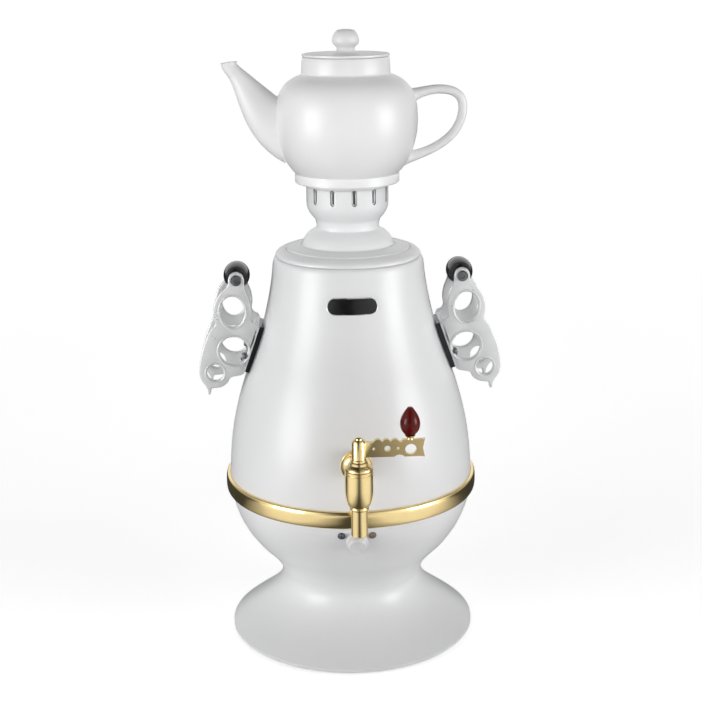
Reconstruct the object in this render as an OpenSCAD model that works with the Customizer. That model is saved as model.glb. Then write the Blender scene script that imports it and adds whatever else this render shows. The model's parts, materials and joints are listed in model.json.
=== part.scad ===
// Electric samovar with a porcelain teapot on its crown.
// Millimetres, +Z up. The origin is on the table, on the axis of the round body.
// The tap faces -Y, the side handles stand at -X and +X, the power inlet faces +Y.

/* [Foot and bowl] */
// Diameter of the foot at its rim
foot_d = 206; // [196:1:220]
// Height of the rim above the table, on its rubber feet
foot_lift = 3; // [2:0.5:5]
// Height of the upright rim of the foot
foot_rim_h = 3; // [2:0.5:6]
// Width of the flat lip turned in under the foot
foot_lip_w = 12; // [10:0.5:16]
// Diameter of the waist between foot and bowl
waist_d = 119; // [112:1:128]
// Height of the waist above the table
waist_z = 52; // [48:1:56]
// Thickness of the spun steel shells
sheet = 1; // [0.8:0.1:1.4]
// How far the bowl's knee lies outside the waist
knee_out = 17.5; // [14:0.5:21]
// How far the bowl's knee lies above the waist
knee_up = 27; // [24:1:30]

/* [Vessel] */
// Diameter of the body at the belt
body_d = 202.6; // [196:0.2:210]
// Height of the middle of the belt above the table
belt_z = 135; // [130:1:140]
// Height of the belt
belt_h = 14; // [11:0.5:17]
// How far the belt stands out of the body
belt_proud = 3.7; // [3:0.1:5]
// Width of the flanges that the belt holds together
flange_w = 1.8; // [1.2:0.1:2.2]
// Height of the tank's floor above the middle of the belt
floor_up = 5; // [4:0.5:8]
// Diameter of the flank half way up the vessel
flank_d = 158; // [150:1:166]
// Height of the flank above the table
flank_z = 245; // [240:1:250]
// Inside diameter of the vessel's mouth
mouth_d = 112; // [108:1:116]
// Height of the vessel's mouth above the table
mouth_z = 325; // [318:1:332]
// How far the shoulder stands outside the mouth
shoulder_out = 5.8; // [5:0.2:7]
// Height of the rounded shoulder
shoulder_h = 9; // [7:0.5:11]
// Depth of the mouth's rolled lip
lip_h = 7; // [5:0.5:8]

/* [Lid and crown] */
// Diameter of the lid's brim
lid_d = 118; // [115:0.5:121]
// Depth of the lid's spigot inside the mouth
spigot_h = 9; // [6:0.5:12]
// Height of the lid from its seat to the crown
lid_h = 27; // [25:0.5:30]
// Diameter of the lid's neck
neck_d = 51; // [48:0.5:54]
// Diameter of the crown
crown_d = 66; // [62:0.5:70]
// Height of the crown
crown_h = 34; // [31:0.5:38]
// Diameter over the crown's top rim
crown_rim_d = 69; // [67:0.5:71]
// Thickness of the crown's wall
crown_wall = 2.4; // [2:0.1:3]
// Number of steam slots in the crown
slot_n = 12; // [8:1:16]
// Share of the slots' spacing by which the ring of slots is turned
slot_turn = 0.23; // [0:0.01:1]
// Width of a steam slot
slot_w = 4.2; // [3.4:0.2:5]
// Depth of a steam slot, from where a narrower slit goes on through the wall
slot_deep = 1.2; // [0.8:0.1:1.4]
// Width of the slit in a steam slot
slit_w = 1.4; // [1:0.2:2]
// Height of a steam slot
slot_h = 13; // [10:0.5:14]
// Diameter of the threaded pipe that joins crown and lid
pipe_d = 33; // [28:0.5:36]
// Length of the threaded pipe below the lid's neck
pipe_h = 11; // [9:0.5:13]
// Wall of the threaded pipe
pipe_wall = 3; // [2:0.2:4]

/* [Teapot] */
// Widest diameter of the teapot's belly
pot_d = 113.2; // [106:0.2:118]
// Diameter of the teapot's foot ring
pot_foot_d = 83.6; // [78:0.2:90]
// Height of the foot ring
pot_foot_h = 7; // [5:0.5:9]
// Height of the belly's widest place above the foot ring's underside
pot_belly_up = 49; // [45:0.5:53]
// Height of the collar's root above the foot ring's underside
pot_root_up = 84.5; // [82:0.5:88]
// Diameter of the collar
collar_d = 70.4; // [68:0.2:72]
// Height of the collar
collar_h = 13.7; // [12:0.1:16]
// Thickness of the porcelain
pot_wall = 3.4; // [2.8:0.1:4]
// Depth of the step under the pot that locks over the crown
pot_step = 2; // [1.5:0.1:3]
// Diameter of the hole that the tea strainer hangs in
strainer_d = 57; // [54:0.5:59]
// Depth of the strainer's basket
basket_h = 46; // [36:1:54]
// Depth of the ledge under the collar's rim
ledge_down = 8; // [6:0.5:9]
// Thickness of the teapot lid's plate
pot_lid_t = 2.6; // [2.2:0.1:3.4]
// Largest diameter of the teapot's knob
knob_d = 21.4; // [18:0.2:24]
// Height of the teapot's knob
knob_h = 18; // [16:0.5:21]
// How far the spout's tip stands from the pot's axis
spout_out = 92.5; // [88:0.5:96]
// Height of the spout's tip above the foot ring's underside
spout_up = 93; // [90:0.5:96]
// How far the handle of the pot stands from the pot's axis
ear_out = 92.5; // [88:0.5:97]
// Thickness of the pot's handle
ear_t = 7.2; // [6:0.2:9]

/* [Tap] */
// Distance of the tap's upright axis from the body's axis
tap_out = 140; // [136:0.5:146]
// Height of the tap's shank above the belt's middle
tap_up = 45; // [41:0.5:50]
// Diameter of the tap's barrel
barrel_d = 21.5; // [19:0.5:24]
// Height of the barrel's straight part above the shank
barrel_up = 11; // [10:0.5:13]
// Depth of the barrel's straight part below the shank
barrel_down = 3; // [2:0.5:5]
// Height of the taper between barrel and outlet
taper_h = 15; // [12:0.5:18]
// Outside diameter of the outlet
outlet_d = 12.6; // [11.6:0.2:15]
// Bore of the outlet
outlet_bore = 8.4; // [7:0.2:9]
// Length of the outlet below the taper
outlet_h = 23.5; // [20:0.5:28]
// Diameter of the tap's shank
shank_d = 12; // [11:0.5:13]
// Bore of the shank
shank_bore = 7; // [6:0.2:8]
// Diameter of the round flange against the vessel
rosette_d = 25; // [22:0.5:28]
// Thickness of the round flange
rosette_t = 2.5; // [2:0.1:4]
// Diameter of the plug at its lower end
plug_d = 12.8; // [12:0.1:13.4]
// Diameter of the plug's stem
stem_d = 6; // [5:0.2:6.6]
// Height of the bonnet nut above the barrel
bonnet_h = 6.5; // [5:0.5:8]
// Diameter of the lever's hub
hub_d = 10.6; // [10:0.2:12]
// Height of the lever's hub
hub_h = 17; // [16:0.5:20]
// Length of the lever from the tap's axis
lever_l = 49; // [44:0.5:54]
// Height of the lever's plate
lever_h = 13; // [11:0.5:14]
// Thickness of the lever's plate
lever_t = 4; // [3:0.2:5]
// Distance of the red knob from the tap's axis
jewel_out = 38; // [34:0.5:41]
// Diameter of the red knob
jewel_d = 15; // [13:0.5:18]
// Height of the red knob
jewel_h = 21.5; // [18:0.5:25]

/* [Side handles] */
// Height of the handles' plates above the table
handle_z = 250; // [246:0.5:254]
// Distance between the middles of a handle's two arms
arm_gap = 38; // [34:1:58]
// Thickness of an arm
arm_t = 5; // [4:0.2:6]
// Height of a handle's plate
plate_l = 42; // [38:1:46]
// Thickness of a handle's plate
plate_t = 3; // [2.5:0.1:4]
// Thickness of the black spacer behind the plate
spacer_t = 3; // [2.5:0.1:4]
// Width of the black spacer
spacer_w = 30; // [24:1:36]
// How far the grip's axis stands outside the plate's middle
grip_out = 13.7; // [12:0.1:16]
// How far the grip's axis stands above the plate's middle
grip_up = 60; // [59:0.5:61.5]
// Largest diameter of a grip
grip_d = 21.4; // [19:0.2:23.4]
// Diameter of a grip at its ends
grip_end_d = 15.6; // [14.4:0.2:18.8]
// Diameter of the rod through a grip
rod_d = 6; // [5:0.2:6.4]
// Distance between the two screws of a handle
handle_screw_gap = 24; // [20:1:28]

/* [Controls and electrics] */
// How far the dial's middle lies below the belt's middle
dial_drop = 19; // [18:0.5:21]
// Diameter of the thermostat's knob
dial_d = 18; // [15:0.5:19]
// Height of the thermostat's knob
dial_h = 9; // [7:0.5:11]
// Sideways distance of a pilot lamp from the knob's axis
lamp_out = 12; // [11.5:0.5:14]
// Height of the pilot lamps above the knob's axis
lamp_up = 5; // [3:0.5:6]
// Diameter of a pilot lamp
lamp_d = 4; // [3.4:0.2:4.6]
// Width of the name badge
badge_w = 41; // [34:1:44]
// Height of the name badge
badge_h = 13; // [10:0.2:15]
// Height of the badge's middle above the table
badge_z = 297; // [292:0.5:302]
// How far the power inlet's middle lies below the belt's middle
inlet_drop = 30; // [29:0.5:34]
// Diameter of the heating element's loop
loop_d = 120; // [100:1:150]
// Diameter of the heating element's tube
tube_d = 8; // [6.5:0.5:9]
// Height of the element's tube above the tank's floor
loop_up = 12; // [10:0.5:16]
// Distance between the element's two posts
post_gap = 22; // [20:1:26]
// Diameter of a rubber foot
pad_d = 18; // [14:0.5:22]

/* [Hidden] */
$fn = 96;
fit = 0.3; // gap between pieces that are lifted or turned
snug = 0.1; // gap between pieces that are fixed together
run = 0.05; // radial gap of a running fit

foot_r = foot_d / 2;
waist_r = waist_d / 2;
body_r = body_d / 2;
mouth_r = mouth_d / 2;
shoulder_r = mouth_r + shoulder_out;
shoulder_z = mouth_z - shoulder_h;
flange_r = body_r + flange_w;
belt_r = body_r + belt_proud;
rim_z = foot_lift + foot_rim_h;
floor_z = belt_z + floor_up;

// ---- curves ----
function bezier(a, b, c, d, n) = [for (i = [0 : n]) let (t = i / n, s = 1 - t)
    s * s * s * a + 3 * s * s * t * b + 3 * s * t * t * c + t * t * t * d];
function after_first(list) = [for (i = [1 : len(list) - 1]) list[i]];
function reversed(list) = [for (i = [len(list) - 1 : -1 : 0]) list[i]];
// A profile drawn from the bottom up, moved towards the axis by d; its two ends move level.
function inset(path, d) = [for (i = [0 : len(path) - 1])
    let (last = len(path) - 1, way = path[min(i + 1, last)] - path[max(i - 1, 0)],
         side = (i == 0 || i == last) ? [-1, 0] : [-way[1], way[0]] / norm(way))
    path[i] + d * side];
// Radius of a profile at height z
function radius_at(path, z) = lookup(z, [for (p = path) [p[1], p[0]]]);
// Lean of a profile at height z, positive where it faces upwards
function lean_at(path, z, step) =
    atan((radius_at(path, z - step) - radius_at(path, z + step)) / (2 * step));
function circle_points(r, n) = [for (k = [0 : n - 1]) r * [cos(360 * k / n), sin(360 * k / n)]];

module turned(points) {
    rotate_extrude() polygon(points);
}

// ---- profiles of the body, from the bottom up ----
foot_path = bezier(
    [foot_r, rim_z],
    [foot_r - 0.345 * (foot_r - waist_r), rim_z + 0.283 * (waist_z - rim_z)],
    [waist_r, waist_z - 0.39 * (waist_z - rim_z)],
    [waist_r, waist_z], 12);

knee = [waist_r + knee_out, waist_z + knee_up];
knee_way = [cos(45), sin(45)];
bowl_top_z = belt_z - sheet;
bowl_path = concat(
    bezier([waist_r, waist_z], [waist_r, waist_z + knee_up / 3], knee - 11.3 * knee_way, knee, 7),
    after_first(bezier(knee, knee + 15.6 * knee_way,
        [body_r, knee[1] + 0.59 * (belt_z - knee[1])], [body_r, bowl_top_z], 10)));

flank = [flank_d / 2, flank_z];
flank_way = [-sin(21.2), cos(21.2)];
vessel_foot_z = belt_z + sheet;
shoulder_top = [mouth_r + 1.5, mouth_z];
vessel_path = concat(
    bezier([body_r, vessel_foot_z], [body_r, belt_z + 45], flank - 38 * flank_way, flank, 14),
    after_first(bezier(flank, flank + 22 * flank_way,
        [shoulder_r + 1.8, shoulder_z - 22], [shoulder_r, shoulder_z], 8)),
    after_first(bezier([shoulder_r, shoulder_z], [shoulder_r - 0.5, shoulder_z + 0.55 * shoulder_h],
        [shoulder_r - 1.3, mouth_z], shoulder_top, 6)));
vessel_wall_path = [for (p = vessel_path) if (p[1] <= shoulder_z) p];
vessel_inner = inset(vessel_wall_path, sheet);

// The inside of the vessel and the outside of the two shells, as solids to cut seats with
module vessel_outside(gap, $fn = 360) {
    turned(concat([[0, vessel_foot_z]], [for (p = vessel_wall_path) p + [gap, 0]], [[0, shoulder_z]]));
}
module vessel_inside(gap, $fn = 360) {
    turned(concat([[0, vessel_foot_z]], [for (p = vessel_inner) p - [gap, 0]], [[0, shoulder_z]]));
}
module bowl_outside(gap, $fn = 360) {
    turned(concat([[0, waist_z]], [for (p = bowl_path) p + [gap, 0]], [[0, bowl_top_z]]));
}

// ======== foot ========
wire_hole_r = 14;
waist_bolt_r = 36; // radius of the circle of bolts at the waist
waist_bolt_n = 3;
m4_r = 2;
plate_screw_n = 4;
plate_bolt_r = foot_r - sheet - foot_lip_w / 2;
base_plate_t = 1.2;
base_plate_top = foot_lift;
pad_ring_r = foot_r - 22;

module ring_of(n, r, turn = 0) {
    for (k = [0 : n - 1]) rotate([0, 0, turn + 360 * k / n]) translate([r, 0, 0]) children();
}

// Spun foot: upright rim, lip turned in below, flat top with holes for the bolts and wires
module foot_shell() {
    color("#eceef0") difference() {
        turned(concat(
            [[foot_r, foot_lift]], foot_path,
            [[wire_hole_r, waist_z], [wire_hole_r, waist_z - sheet]],
            reversed([for (p = inset(foot_path, sheet)) [p[0], min(p[1], waist_z - sheet)]]),
            [[foot_r - sheet, foot_lift + sheet], [foot_r - sheet - foot_lip_w, foot_lift + sheet],
             [foot_r - sheet - foot_lip_w, foot_lift]]));
        ring_of(waist_bolt_n, waist_bolt_r, -90)
            translate([0, 0, waist_z - 2 * sheet]) cylinder(h = 4 * sheet, r = m4_r + 0.2);
        ring_of(plate_screw_n, plate_bolt_r, 45)
            translate([0, 0, foot_lift - sheet]) cylinder(h = 4 * sheet, r = 1.4 + snug);
    }
}

// Closing plate under the foot, screwed to the lip
module base_plate() {
    color("#3a3c40") translate([0, 0, base_plate_top - base_plate_t]) difference() {
        cylinder(h = base_plate_t, r = foot_r - 4);
        ring_of(plate_screw_n, plate_bolt_r, 45)
            translate([0, 0, -1]) cylinder(h = base_plate_t + 2, r = 1.6);
        ring_of(4, pad_ring_r) translate([0, 0, -1]) cylinder(h = base_plate_t + 2, r = 3.2);
        for (k = [-3 : 3]) translate([6 * k - 1.2, -14, -1]) cube([2.4, 28, base_plate_t + 2]);
    }
}

module base_screws() {
    color("silver") ring_of(plate_screw_n, plate_bolt_r, 45) {
        translate([0, 0, base_plate_top - base_plate_t - 1.2]) cylinder(h = 1.2, r = 2.8);
        translate([0, 0, base_plate_top - base_plate_t - 0.1]) cylinder(h = 6, r = 1.4);
    }
}

// Rubber foot: pad below the plate, neck through its hole, barb above it
module rubber_feet() {
    neck_top = base_plate_top + 0.1;
    color("#202124") ring_of(4, pad_ring_r) turned([
        [0, 0], [pad_d / 2 - 0.5, 0], [pad_d / 2, 0.5], [pad_d / 2, base_plate_top - base_plate_t],
        [3.1, base_plate_top - base_plate_t], [3.1, neck_top], [4.4, neck_top],
        [2.4, neck_top + 3.5], [0, neck_top + 3.5]]);
}

module hex_nut(across, h, bore_r) {
    difference() {
        cylinder(h = h, r = across / 2 / cos(30), $fn = 6);
        translate([0, 0, -1]) cylinder(h = h + 2, r = bore_r);
    }
}

// Bolts that hold bowl and foot together at the waist, heads inside the bowl
module waist_bolts() {
    color("silver") ring_of(waist_bolt_n, waist_bolt_r, -90) {
        translate([0, 0, waist_z + sheet]) cylinder(h = 2.8, r = 3.8);
        translate([0, 0, waist_z - sheet - 6]) cylinder(h = 6.1 + 2 * sheet, r = m4_r);
    }
}

module waist_nuts() {
    color("silver") ring_of(waist_bolt_n, waist_bolt_r, -90)
        translate([0, 0, waist_z - sheet - 3.2]) hex_nut(7, 3.2, m4_r + run);
}

// ======== bowl ========
dial_z = belt_z - dial_drop;
dial_r = radius_at(bowl_path, dial_z);
dial_lean = lean_at(bowl_path, dial_z, 5);
inlet_z = belt_z - inlet_drop;
inlet_r = radius_at(bowl_path, inlet_z);
inlet_lean = lean_at(bowl_path, inlet_z, 8);
inlet_w = 28;
inlet_h = 20;
bushing_r = 4;
lamp_turn = asin(lamp_out / dial_r);
lamp_z = dial_z + lamp_up;
lamp_r = radius_at(bowl_path, lamp_z);
lamp_lean = lean_at(bowl_path, lamp_z, 4);

// Places children on the bowl's front, turned about the axis, with +Z pointing out of the wall
module on_bowl(r, z, lean, turn = 0) {
    rotate([0, 0, turn]) translate([0, -r, z]) rotate([90 - lean, 0, 0]) children();
}

module lower_bowl() {
    color("#eceef0") difference() {
        turned(concat(
            bowl_path,
            [[flange_r, bowl_top_z], [flange_r, belt_z], [body_r - sheet, belt_z]],
            reversed([for (p = inset(bowl_path, sheet)) [p[0], max(p[1], waist_z + sheet)]]),
            [[wire_hole_r, waist_z + sheet], [wire_hole_r, waist_z]]));
        ring_of(waist_bolt_n, waist_bolt_r, -90)
            translate([0, 0, waist_z - sheet]) cylinder(h = 4 * sheet, r = m4_r + 0.2);
        on_bowl(dial_r, dial_z, dial_lean) translate([0, 0, -8]) cylinder(h = 16, r = bushing_r + 0.2);
        for (side = [-1, 1]) on_bowl(lamp_r, lamp_z, lamp_lean, side * lamp_turn)
            translate([0, 0, -6]) cylinder(h = 12, r = lamp_d / 2 + snug);
        on_bowl(inlet_r, inlet_z, inlet_lean, 180)
            translate([-inlet_w / 2 - 0.2, -inlet_h / 2 - 0.2, -10])
                cube([inlet_w + 0.4, inlet_h + 0.4, 20]);
    }
}

// Appliance inlet: housing through the bowl, flange seated on the wall, open recess behind it
module power_inlet() {
    depth = 22;
    color("#1c1d20") on_bowl(inlet_r, inlet_z, inlet_lean, 180) difference() {
        union() {
            translate([-inlet_w / 2, -inlet_h / 2, -depth]) cube([inlet_w, inlet_h, depth + 2.5]);
            difference() {
                translate([-inlet_w / 2 - 3, -inlet_h / 2 - 3, -3])
                    cube([inlet_w + 6, inlet_h + 6, 5.5]);
                rotate([-(90 - inlet_lean), 0, 0]) translate([0, inlet_r, -inlet_z])
                    bowl_outside(snug);
            }
        }
        translate([-inlet_w / 2 + 2.2, -inlet_h / 2 + 2.2, -depth + 4])
            cube([inlet_w - 4.4, inlet_h - 4.4, depth]);
        for (x = [-7, 0, 7]) translate([x - 1 - run, (x == 0 ? 2 : -2) - 2 - run, -depth - 1])
            cube([2 + 2 * run, 4 + 2 * run, 8]);
    }
}

// Three blades of the inlet, with solder tails behind it
pin_depth = 28;
module inlet_pins() {
    color("#c9b27a") on_bowl(inlet_r, inlet_z, inlet_lean, 180)
        for (x = [-7, 0, 7]) translate([x - 1, (x == 0 ? 2 : -2) - 2, -pin_depth])
            cube([2, 4, pin_depth - 8]);
}

thermostat_back = 28;
tab_l = 6;
tab_x = 6;
module thermostat() {
    box_half = lamp_out - lamp_d / 2 - 2;
    color("#d8d2c0") on_bowl(dial_r, dial_z, dial_lean) difference() {
        union() {
            translate([-box_half, -11, -thermostat_back]) cube([2 * box_half, 22, thermostat_back - 5]);
            translate([0, 0, -5.1]) cylinder(h = 7.1, r = bushing_r);
            translate([0, 0, -5.1]) cylinder(h = 5.1 - sheet - 0.6, r = bushing_r + 3);
            for (x = [-tab_x, tab_x]) translate([x - 2.5, -0.4, -thermostat_back - tab_l])
                cube([5, 0.8, tab_l + 0.1]);
        }
        translate([0, 0, -18]) cylinder(h = 30, r = 3 + run);
    }
}

// Ring nut that clamps the thermostat to the bowl, hidden in the knob's hollow
module thermostat_nut() {
    color("silver") on_bowl(dial_r, dial_z, dial_lean) difference() {
        translate([0, 0, 0.2]) cylinder(h = 1.6, r = 6.2);
        translate([0, 0, -1]) cylinder(h = 4, r = bushing_r + run);
    }
}

module thermostat_spindle() {
    color("silver") on_bowl(dial_r, dial_z, dial_lean)
        translate([0, 0, -17.5]) cylinder(h = 17.5 + dial_h - 2, r = 3);
}

// Knob: skirt, waist, hollow underside over the nut, raised pointer on its face
module thermostat_knob() {
    color("#e4e6e8") on_bowl(dial_r, dial_z, dial_lean) difference() {
        union() {
            turned([[0, 0.8], [dial_d / 2, 0.8], [dial_d / 2, 2.4], [dial_d / 2 - 1, 3],
                [dial_d / 2 - 1.6, dial_h - 0.8], [dial_d / 2 - 2.4, dial_h], [0, dial_h]]);
            translate([-0.6, 1, dial_h - 0.5]) cube([1.2, dial_d / 2 - 3.6, 0.9]);
        }
        translate([0, 0, 0.5]) cylinder(h = 1.9, r = 6.8);
        cylinder(h = dial_h - 1.9, r = 3.02);
    }
}

module pilot_lamp(side) {
    on_bowl(lamp_r, lamp_z, lamp_lean, side * lamp_turn) turned([
        [0, -7], [lamp_d / 2, -7], [lamp_d / 2, 0.3], [lamp_d / 2 + 1, 0.3], [lamp_d / 2 + 1, 0.8],
        [lamp_d / 2, 1.1], [lamp_d / 2 - 0.6, 1.7], [0, 2]]);
}
module heating_lamp() {
    color("#3b4252") pilot_lamp(-1);
}
module keep_warm_lamp() {
    color("#4a443c") pilot_lamp(1);
}

block_at = [0, 38, waist_z + sheet];
module terminal_block() {
    color("#d9d9d2") translate(block_at) difference() {
        translate([-18, -7, 0]) cube([36, 14, 12]);
        for (k = [-1 : 1]) translate([11 * k, 0, 6]) {
            rotate([90, 0, 0]) cylinder(h = 30, r = 1.7, center = true);
            cylinder(h = 20, r = 2);
        }
    }
}

cutout_h = 9;
clip_half = 20;
module thermal_cutout() {
    color("#2b2b2e") {
        translate([0, 0, floor_z - cutout_h]) cylinder(h = cutout_h - snug, r = 9);
        for (x = [-5, 5]) translate([x - 0.4, -3, floor_z - cutout_h - 8]) cube([0.8, 6, 8.1]);
    }
}

// Strap that presses the cut-out against the tank's floor
module cutout_clip() {
    color("silver") translate([0, 0, floor_z - cutout_h - 1.2]) difference() {
        translate([-clip_half - 5, -5, 0]) cube([2 * clip_half + 10, 10, 1.1]);
        translate([-7.5, -3.6, -1]) cube([15, 7.2, 4]);
        for (x = [-1, 1]) translate([x * clip_half, 0, -1]) cylinder(h = 4, r = 1.7);
    }
}

module clip_nuts() {
    color("silver") for (x = [-1, 1])
        translate([x * clip_half, 0, floor_z - cutout_h - 1.2 - 2.6]) hex_nut(5.5, 2.5, 1.5 + run);
}

// A wire: straight runs with a ball at each bend
wire_r = 1.1;
module wire(points) {
    for (i = [0 : len(points) - 2]) {
        way = points[i + 1] - points[i];
        translate(points[i]) rotate([0, acos(way[2] / norm(way)), atan2(way[1], way[0])]) {
            cylinder(h = norm(way), r = wire_r, $fn = 24);
            if (i > 0) sphere(r = wire_r + 0.2, $fn = 24);
        }
    }
}

post_y = sqrt(pow(loop_d / 2, 2) - pow(post_gap / 2, 2));
post_tip_z = floor_z - 20;
cut_z = floor_z - cutout_h - 8;
block_z = block_at[2] + 6;
lug = 0.25; // gap between a wire's end and its terminal
// Points on the wires' routes, d beyond the inlet's tails and the thermostat's tabs
function at_tail(x, d) = let (up = (x == 0 ? 2 : -2), deep = pin_depth + d) [x,
    inlet_r - deep * cos(inlet_lean) - up * sin(inlet_lean),
    inlet_z - deep * sin(inlet_lean) + up * cos(inlet_lean)];
function at_tab(x, d) = let (deep = thermostat_back + tab_l + d)
    [x, -dial_r + deep * cos(dial_lean), dial_z - deep * sin(dial_lean)];
function at_block(k, y) = [11 * k, block_at[1] + y, block_z];
function under(x, y, z, d) = [x, y, z - d];

module wires_live() {
    color("#7a4a2a") {
        wire([at_tail(-7, lug), at_tail(-7, 5), at_block(-1, 17) + [0, 0, 22], at_block(-1, 17),
            at_block(-1, 3)]);
        wire([at_block(-1, -3), at_block(-1, -16), at_tab(-tab_x, 12) - [0, 0, 16],
            at_tab(-tab_x, 5), at_tab(-tab_x, lug)]);
        wire([at_tab(tab_x, lug), at_tab(tab_x, 5), under(5, 0, cut_z, 9), under(5, 0, cut_z, lug)]);
    }
}

module wires_neutral() {
    post = [post_gap / 2, post_y, post_tip_z];
    color("#3f6ea8") {
        wire([at_tail(7, lug), at_tail(7, 5), at_block(1, 17) + [0, 0, 22], at_block(1, 17),
            at_block(1, 3)]);
        wire([at_block(1, -3), at_block(1, -12), at_block(1, -12) + [6, 0, 24], post - [0, 12, 14],
            post - [0, 0, 7], post - [0, 0, lug]]);
    }
}

module wires_earth() {
    color("#6d9a3f") wire([at_tail(0, lug), at_tail(0, 8), at_block(0, 14) + [0, 0, 20],
        at_block(0, 14), at_block(0, 3)]);
}

module wire_link() {
    post = [-post_gap / 2, post_y, post_tip_z];
    color("#7a4a2a") wire([under(-5, 0, cut_z, lug), under(-5, 0, cut_z, 6), post - [0, 14, 10],
        post - [0, 0, 6], post - [0, 0, lug]]);
}

// ======== belt and vessel ========
// Half-round band with an inner groove that clamps the two flanges together
module belt_ring() {
    half = belt_h / 2;
    groove = sheet + 0.2;
    inner = body_r + 0.2;
    outer = [for (k = [0 : 12]) let (a = -90 + 15 * k)
        [inner + 1 + (belt_r - inner - 1) * cos(a), belt_z + half * sin(a)]];
    color("#d8b45a") turned(concat(outer, [
        [inner, belt_z + half], [inner, belt_z + groove], [flange_r + 0.2, belt_z + groove],
        [flange_r + 0.2, belt_z - groove], [inner, belt_z - groove], [inner, belt_z - half]]));
}

handle_r = radius_at(vessel_path, handle_z);
handle_lean = lean_at(vessel_path, handle_z, 15);
tap_z = belt_z + tap_up;

// Places children on the vessel's right side, +X pointing out of the wall
module on_flank() {
    translate([handle_r, 0, handle_z]) rotate([0, -handle_lean, 0]) children();
}
module both_sides() {
    for (side = [0, 1]) mirror([side, 0, 0]) children();
}
module handle_bolt_places() {
    for (side = [-1, 1]) translate([0, 0, side * handle_screw_gap / 2]) rotate([0, 90, 0]) children();
}
m5_r = 2.4;

module vessel_shell() {
    color("#f0f1f3") difference() {
        turned(concat(
            [[flange_r, belt_z], [flange_r, vessel_foot_z]], vessel_path,
            [[mouth_r, mouth_z], [mouth_r, mouth_z - lip_h], [mouth_r + sheet, mouth_z - lip_h],
             [mouth_r + sheet, mouth_z - sheet], [mouth_r + 2.2, mouth_z - sheet]],
            reversed(vessel_inner), [[body_r - sheet, belt_z]]));
        both_sides() on_flank() handle_bolt_places()
            translate([0, 0, -6]) cylinder(h = 12, r = m5_r + 0.2);
        translate([0, -body_r - 5, tap_z]) rotate([-90, 0, 0]) cylinder(h = 30, r = shank_d / 2 + 0.2);
    }
}

// Floor of the tank: a dished pan welded inside the vessel, with studs for the clip
module vessel_floor() {
    skirt_r = body_r - sheet - snug;
    skirt_z = belt_z + 0.2;
    post_hole_r = tube_d / 2 + 0.2;
    color("#c4c7ca") {
        difference() {
            turned([[0, floor_z], [skirt_r - sheet - 1.4, floor_z], [skirt_r - sheet, floor_z - 1.2],
                [skirt_r - sheet, skirt_z], [skirt_r, skirt_z], [skirt_r, floor_z],
                [skirt_r - 1.4, floor_z + sheet], [0, floor_z + sheet]]);
            for (x = [-1, 1]) translate([x * post_gap / 2, post_y, floor_z - 5])
                cylinder(h = 12, r = post_hole_r);
        }
        for (x = [-1, 1]) translate([x * clip_half, 0, floor_z - cutout_h - 5])
            cylinder(h = cutout_h + 5.2, r = 1.5);
    }
}

collar_z = floor_z + sheet + 1.5;
// Heating element: an almost closed loop of tube whose ends enter two threaded posts
module heating_element() {
    loop_z = floor_z + sheet + loop_up;
    gap_turn = asin(post_gap / loop_d);
    color("#8d9094") {
        translate([0, 0, loop_z]) rotate([0, 0, 90 + gap_turn])
            rotate_extrude(angle = 360 - 2 * gap_turn) translate([loop_d / 2, 0]) circle(r = tube_d / 2);
        for (x = [-1, 1]) translate([x * post_gap / 2, post_y, 0]) {
            translate([0, 0, collar_z])
                cylinder(h = loop_z + tube_d / 2 + 1.2 - collar_z, r = tube_d / 2 + 0.6);
            translate([0, 0, collar_z]) cylinder(h = 2, r = 8);
            translate([0, 0, floor_z - 10]) cylinder(h = collar_z + 0.1 - floor_z + 10, r = tube_d / 2);
            translate([0, 0, post_tip_z]) cylinder(h = 12, r = 1.8);
        }
    }
}

module element_seals() {
    color("#a33b2e") for (x = [-1, 1]) translate([x * post_gap / 2, post_y, floor_z + sheet])
        difference() {
            cylinder(h = 1.5, r = 7.6);
            translate([0, 0, -1]) cylinder(h = 4, r = tube_d / 2 + run);
        }
}

module element_nuts() {
    color("silver") for (x = [-1, 1]) translate([x * post_gap / 2, post_y, floor_z - 4])
        hex_nut(13, 4, tube_d / 2 + run);
}

// Name badge: a pill cut out of a thin curved sheet on the vessel's front
module badge() {
    flat = badge_w - badge_h;
    color("#15161a") intersection() {
        difference() {
            vessel_outside(1.3);
            vessel_outside(snug);
        }
        translate([0, -flank_d / 4, badge_z]) rotate([90, 0, 0]) union() {
            for (x = [-1, 1]) translate([x * flat / 2, 0, 0]) cylinder(h = flank_d, r = badge_h / 2);
            translate([-flat / 2, -badge_h / 2, 0]) cube([flat, badge_h, flank_d]);
        }
    }
}

// ======== tap ========
barrel_r = barrel_d / 2;
barrel_top_z = tap_z + barrel_up;
taper_top_z = tap_z - barrel_down;
outlet_top_z = taper_top_z - taper_h;
outlet_z = outlet_top_z - outlet_h;
plug_r = plug_d / 2;
plug_top_r = plug_r + 0.8;
plug_z = tap_z - 9;
plug_top_z = tap_z + 6;
bonnet_thread_r = barrel_r - 2;
// Flat faces of the two washers, clear of the leaning wall at their edges
seat_out_y = -radius_at(vessel_path, tap_z - rosette_d / 2) - 0.8;
seat_in_y = -radius_at(vessel_path, tap_z + rosette_d / 2) + sheet + 1.2;
thread_end_y = seat_in_y + 9;

module at_tap() {
    translate([0, -tap_out, 0]) children();
}
module along_shank(y) {
    translate([0, y, tap_z]) rotate([-90, 0, 0]) children();
}

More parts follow.
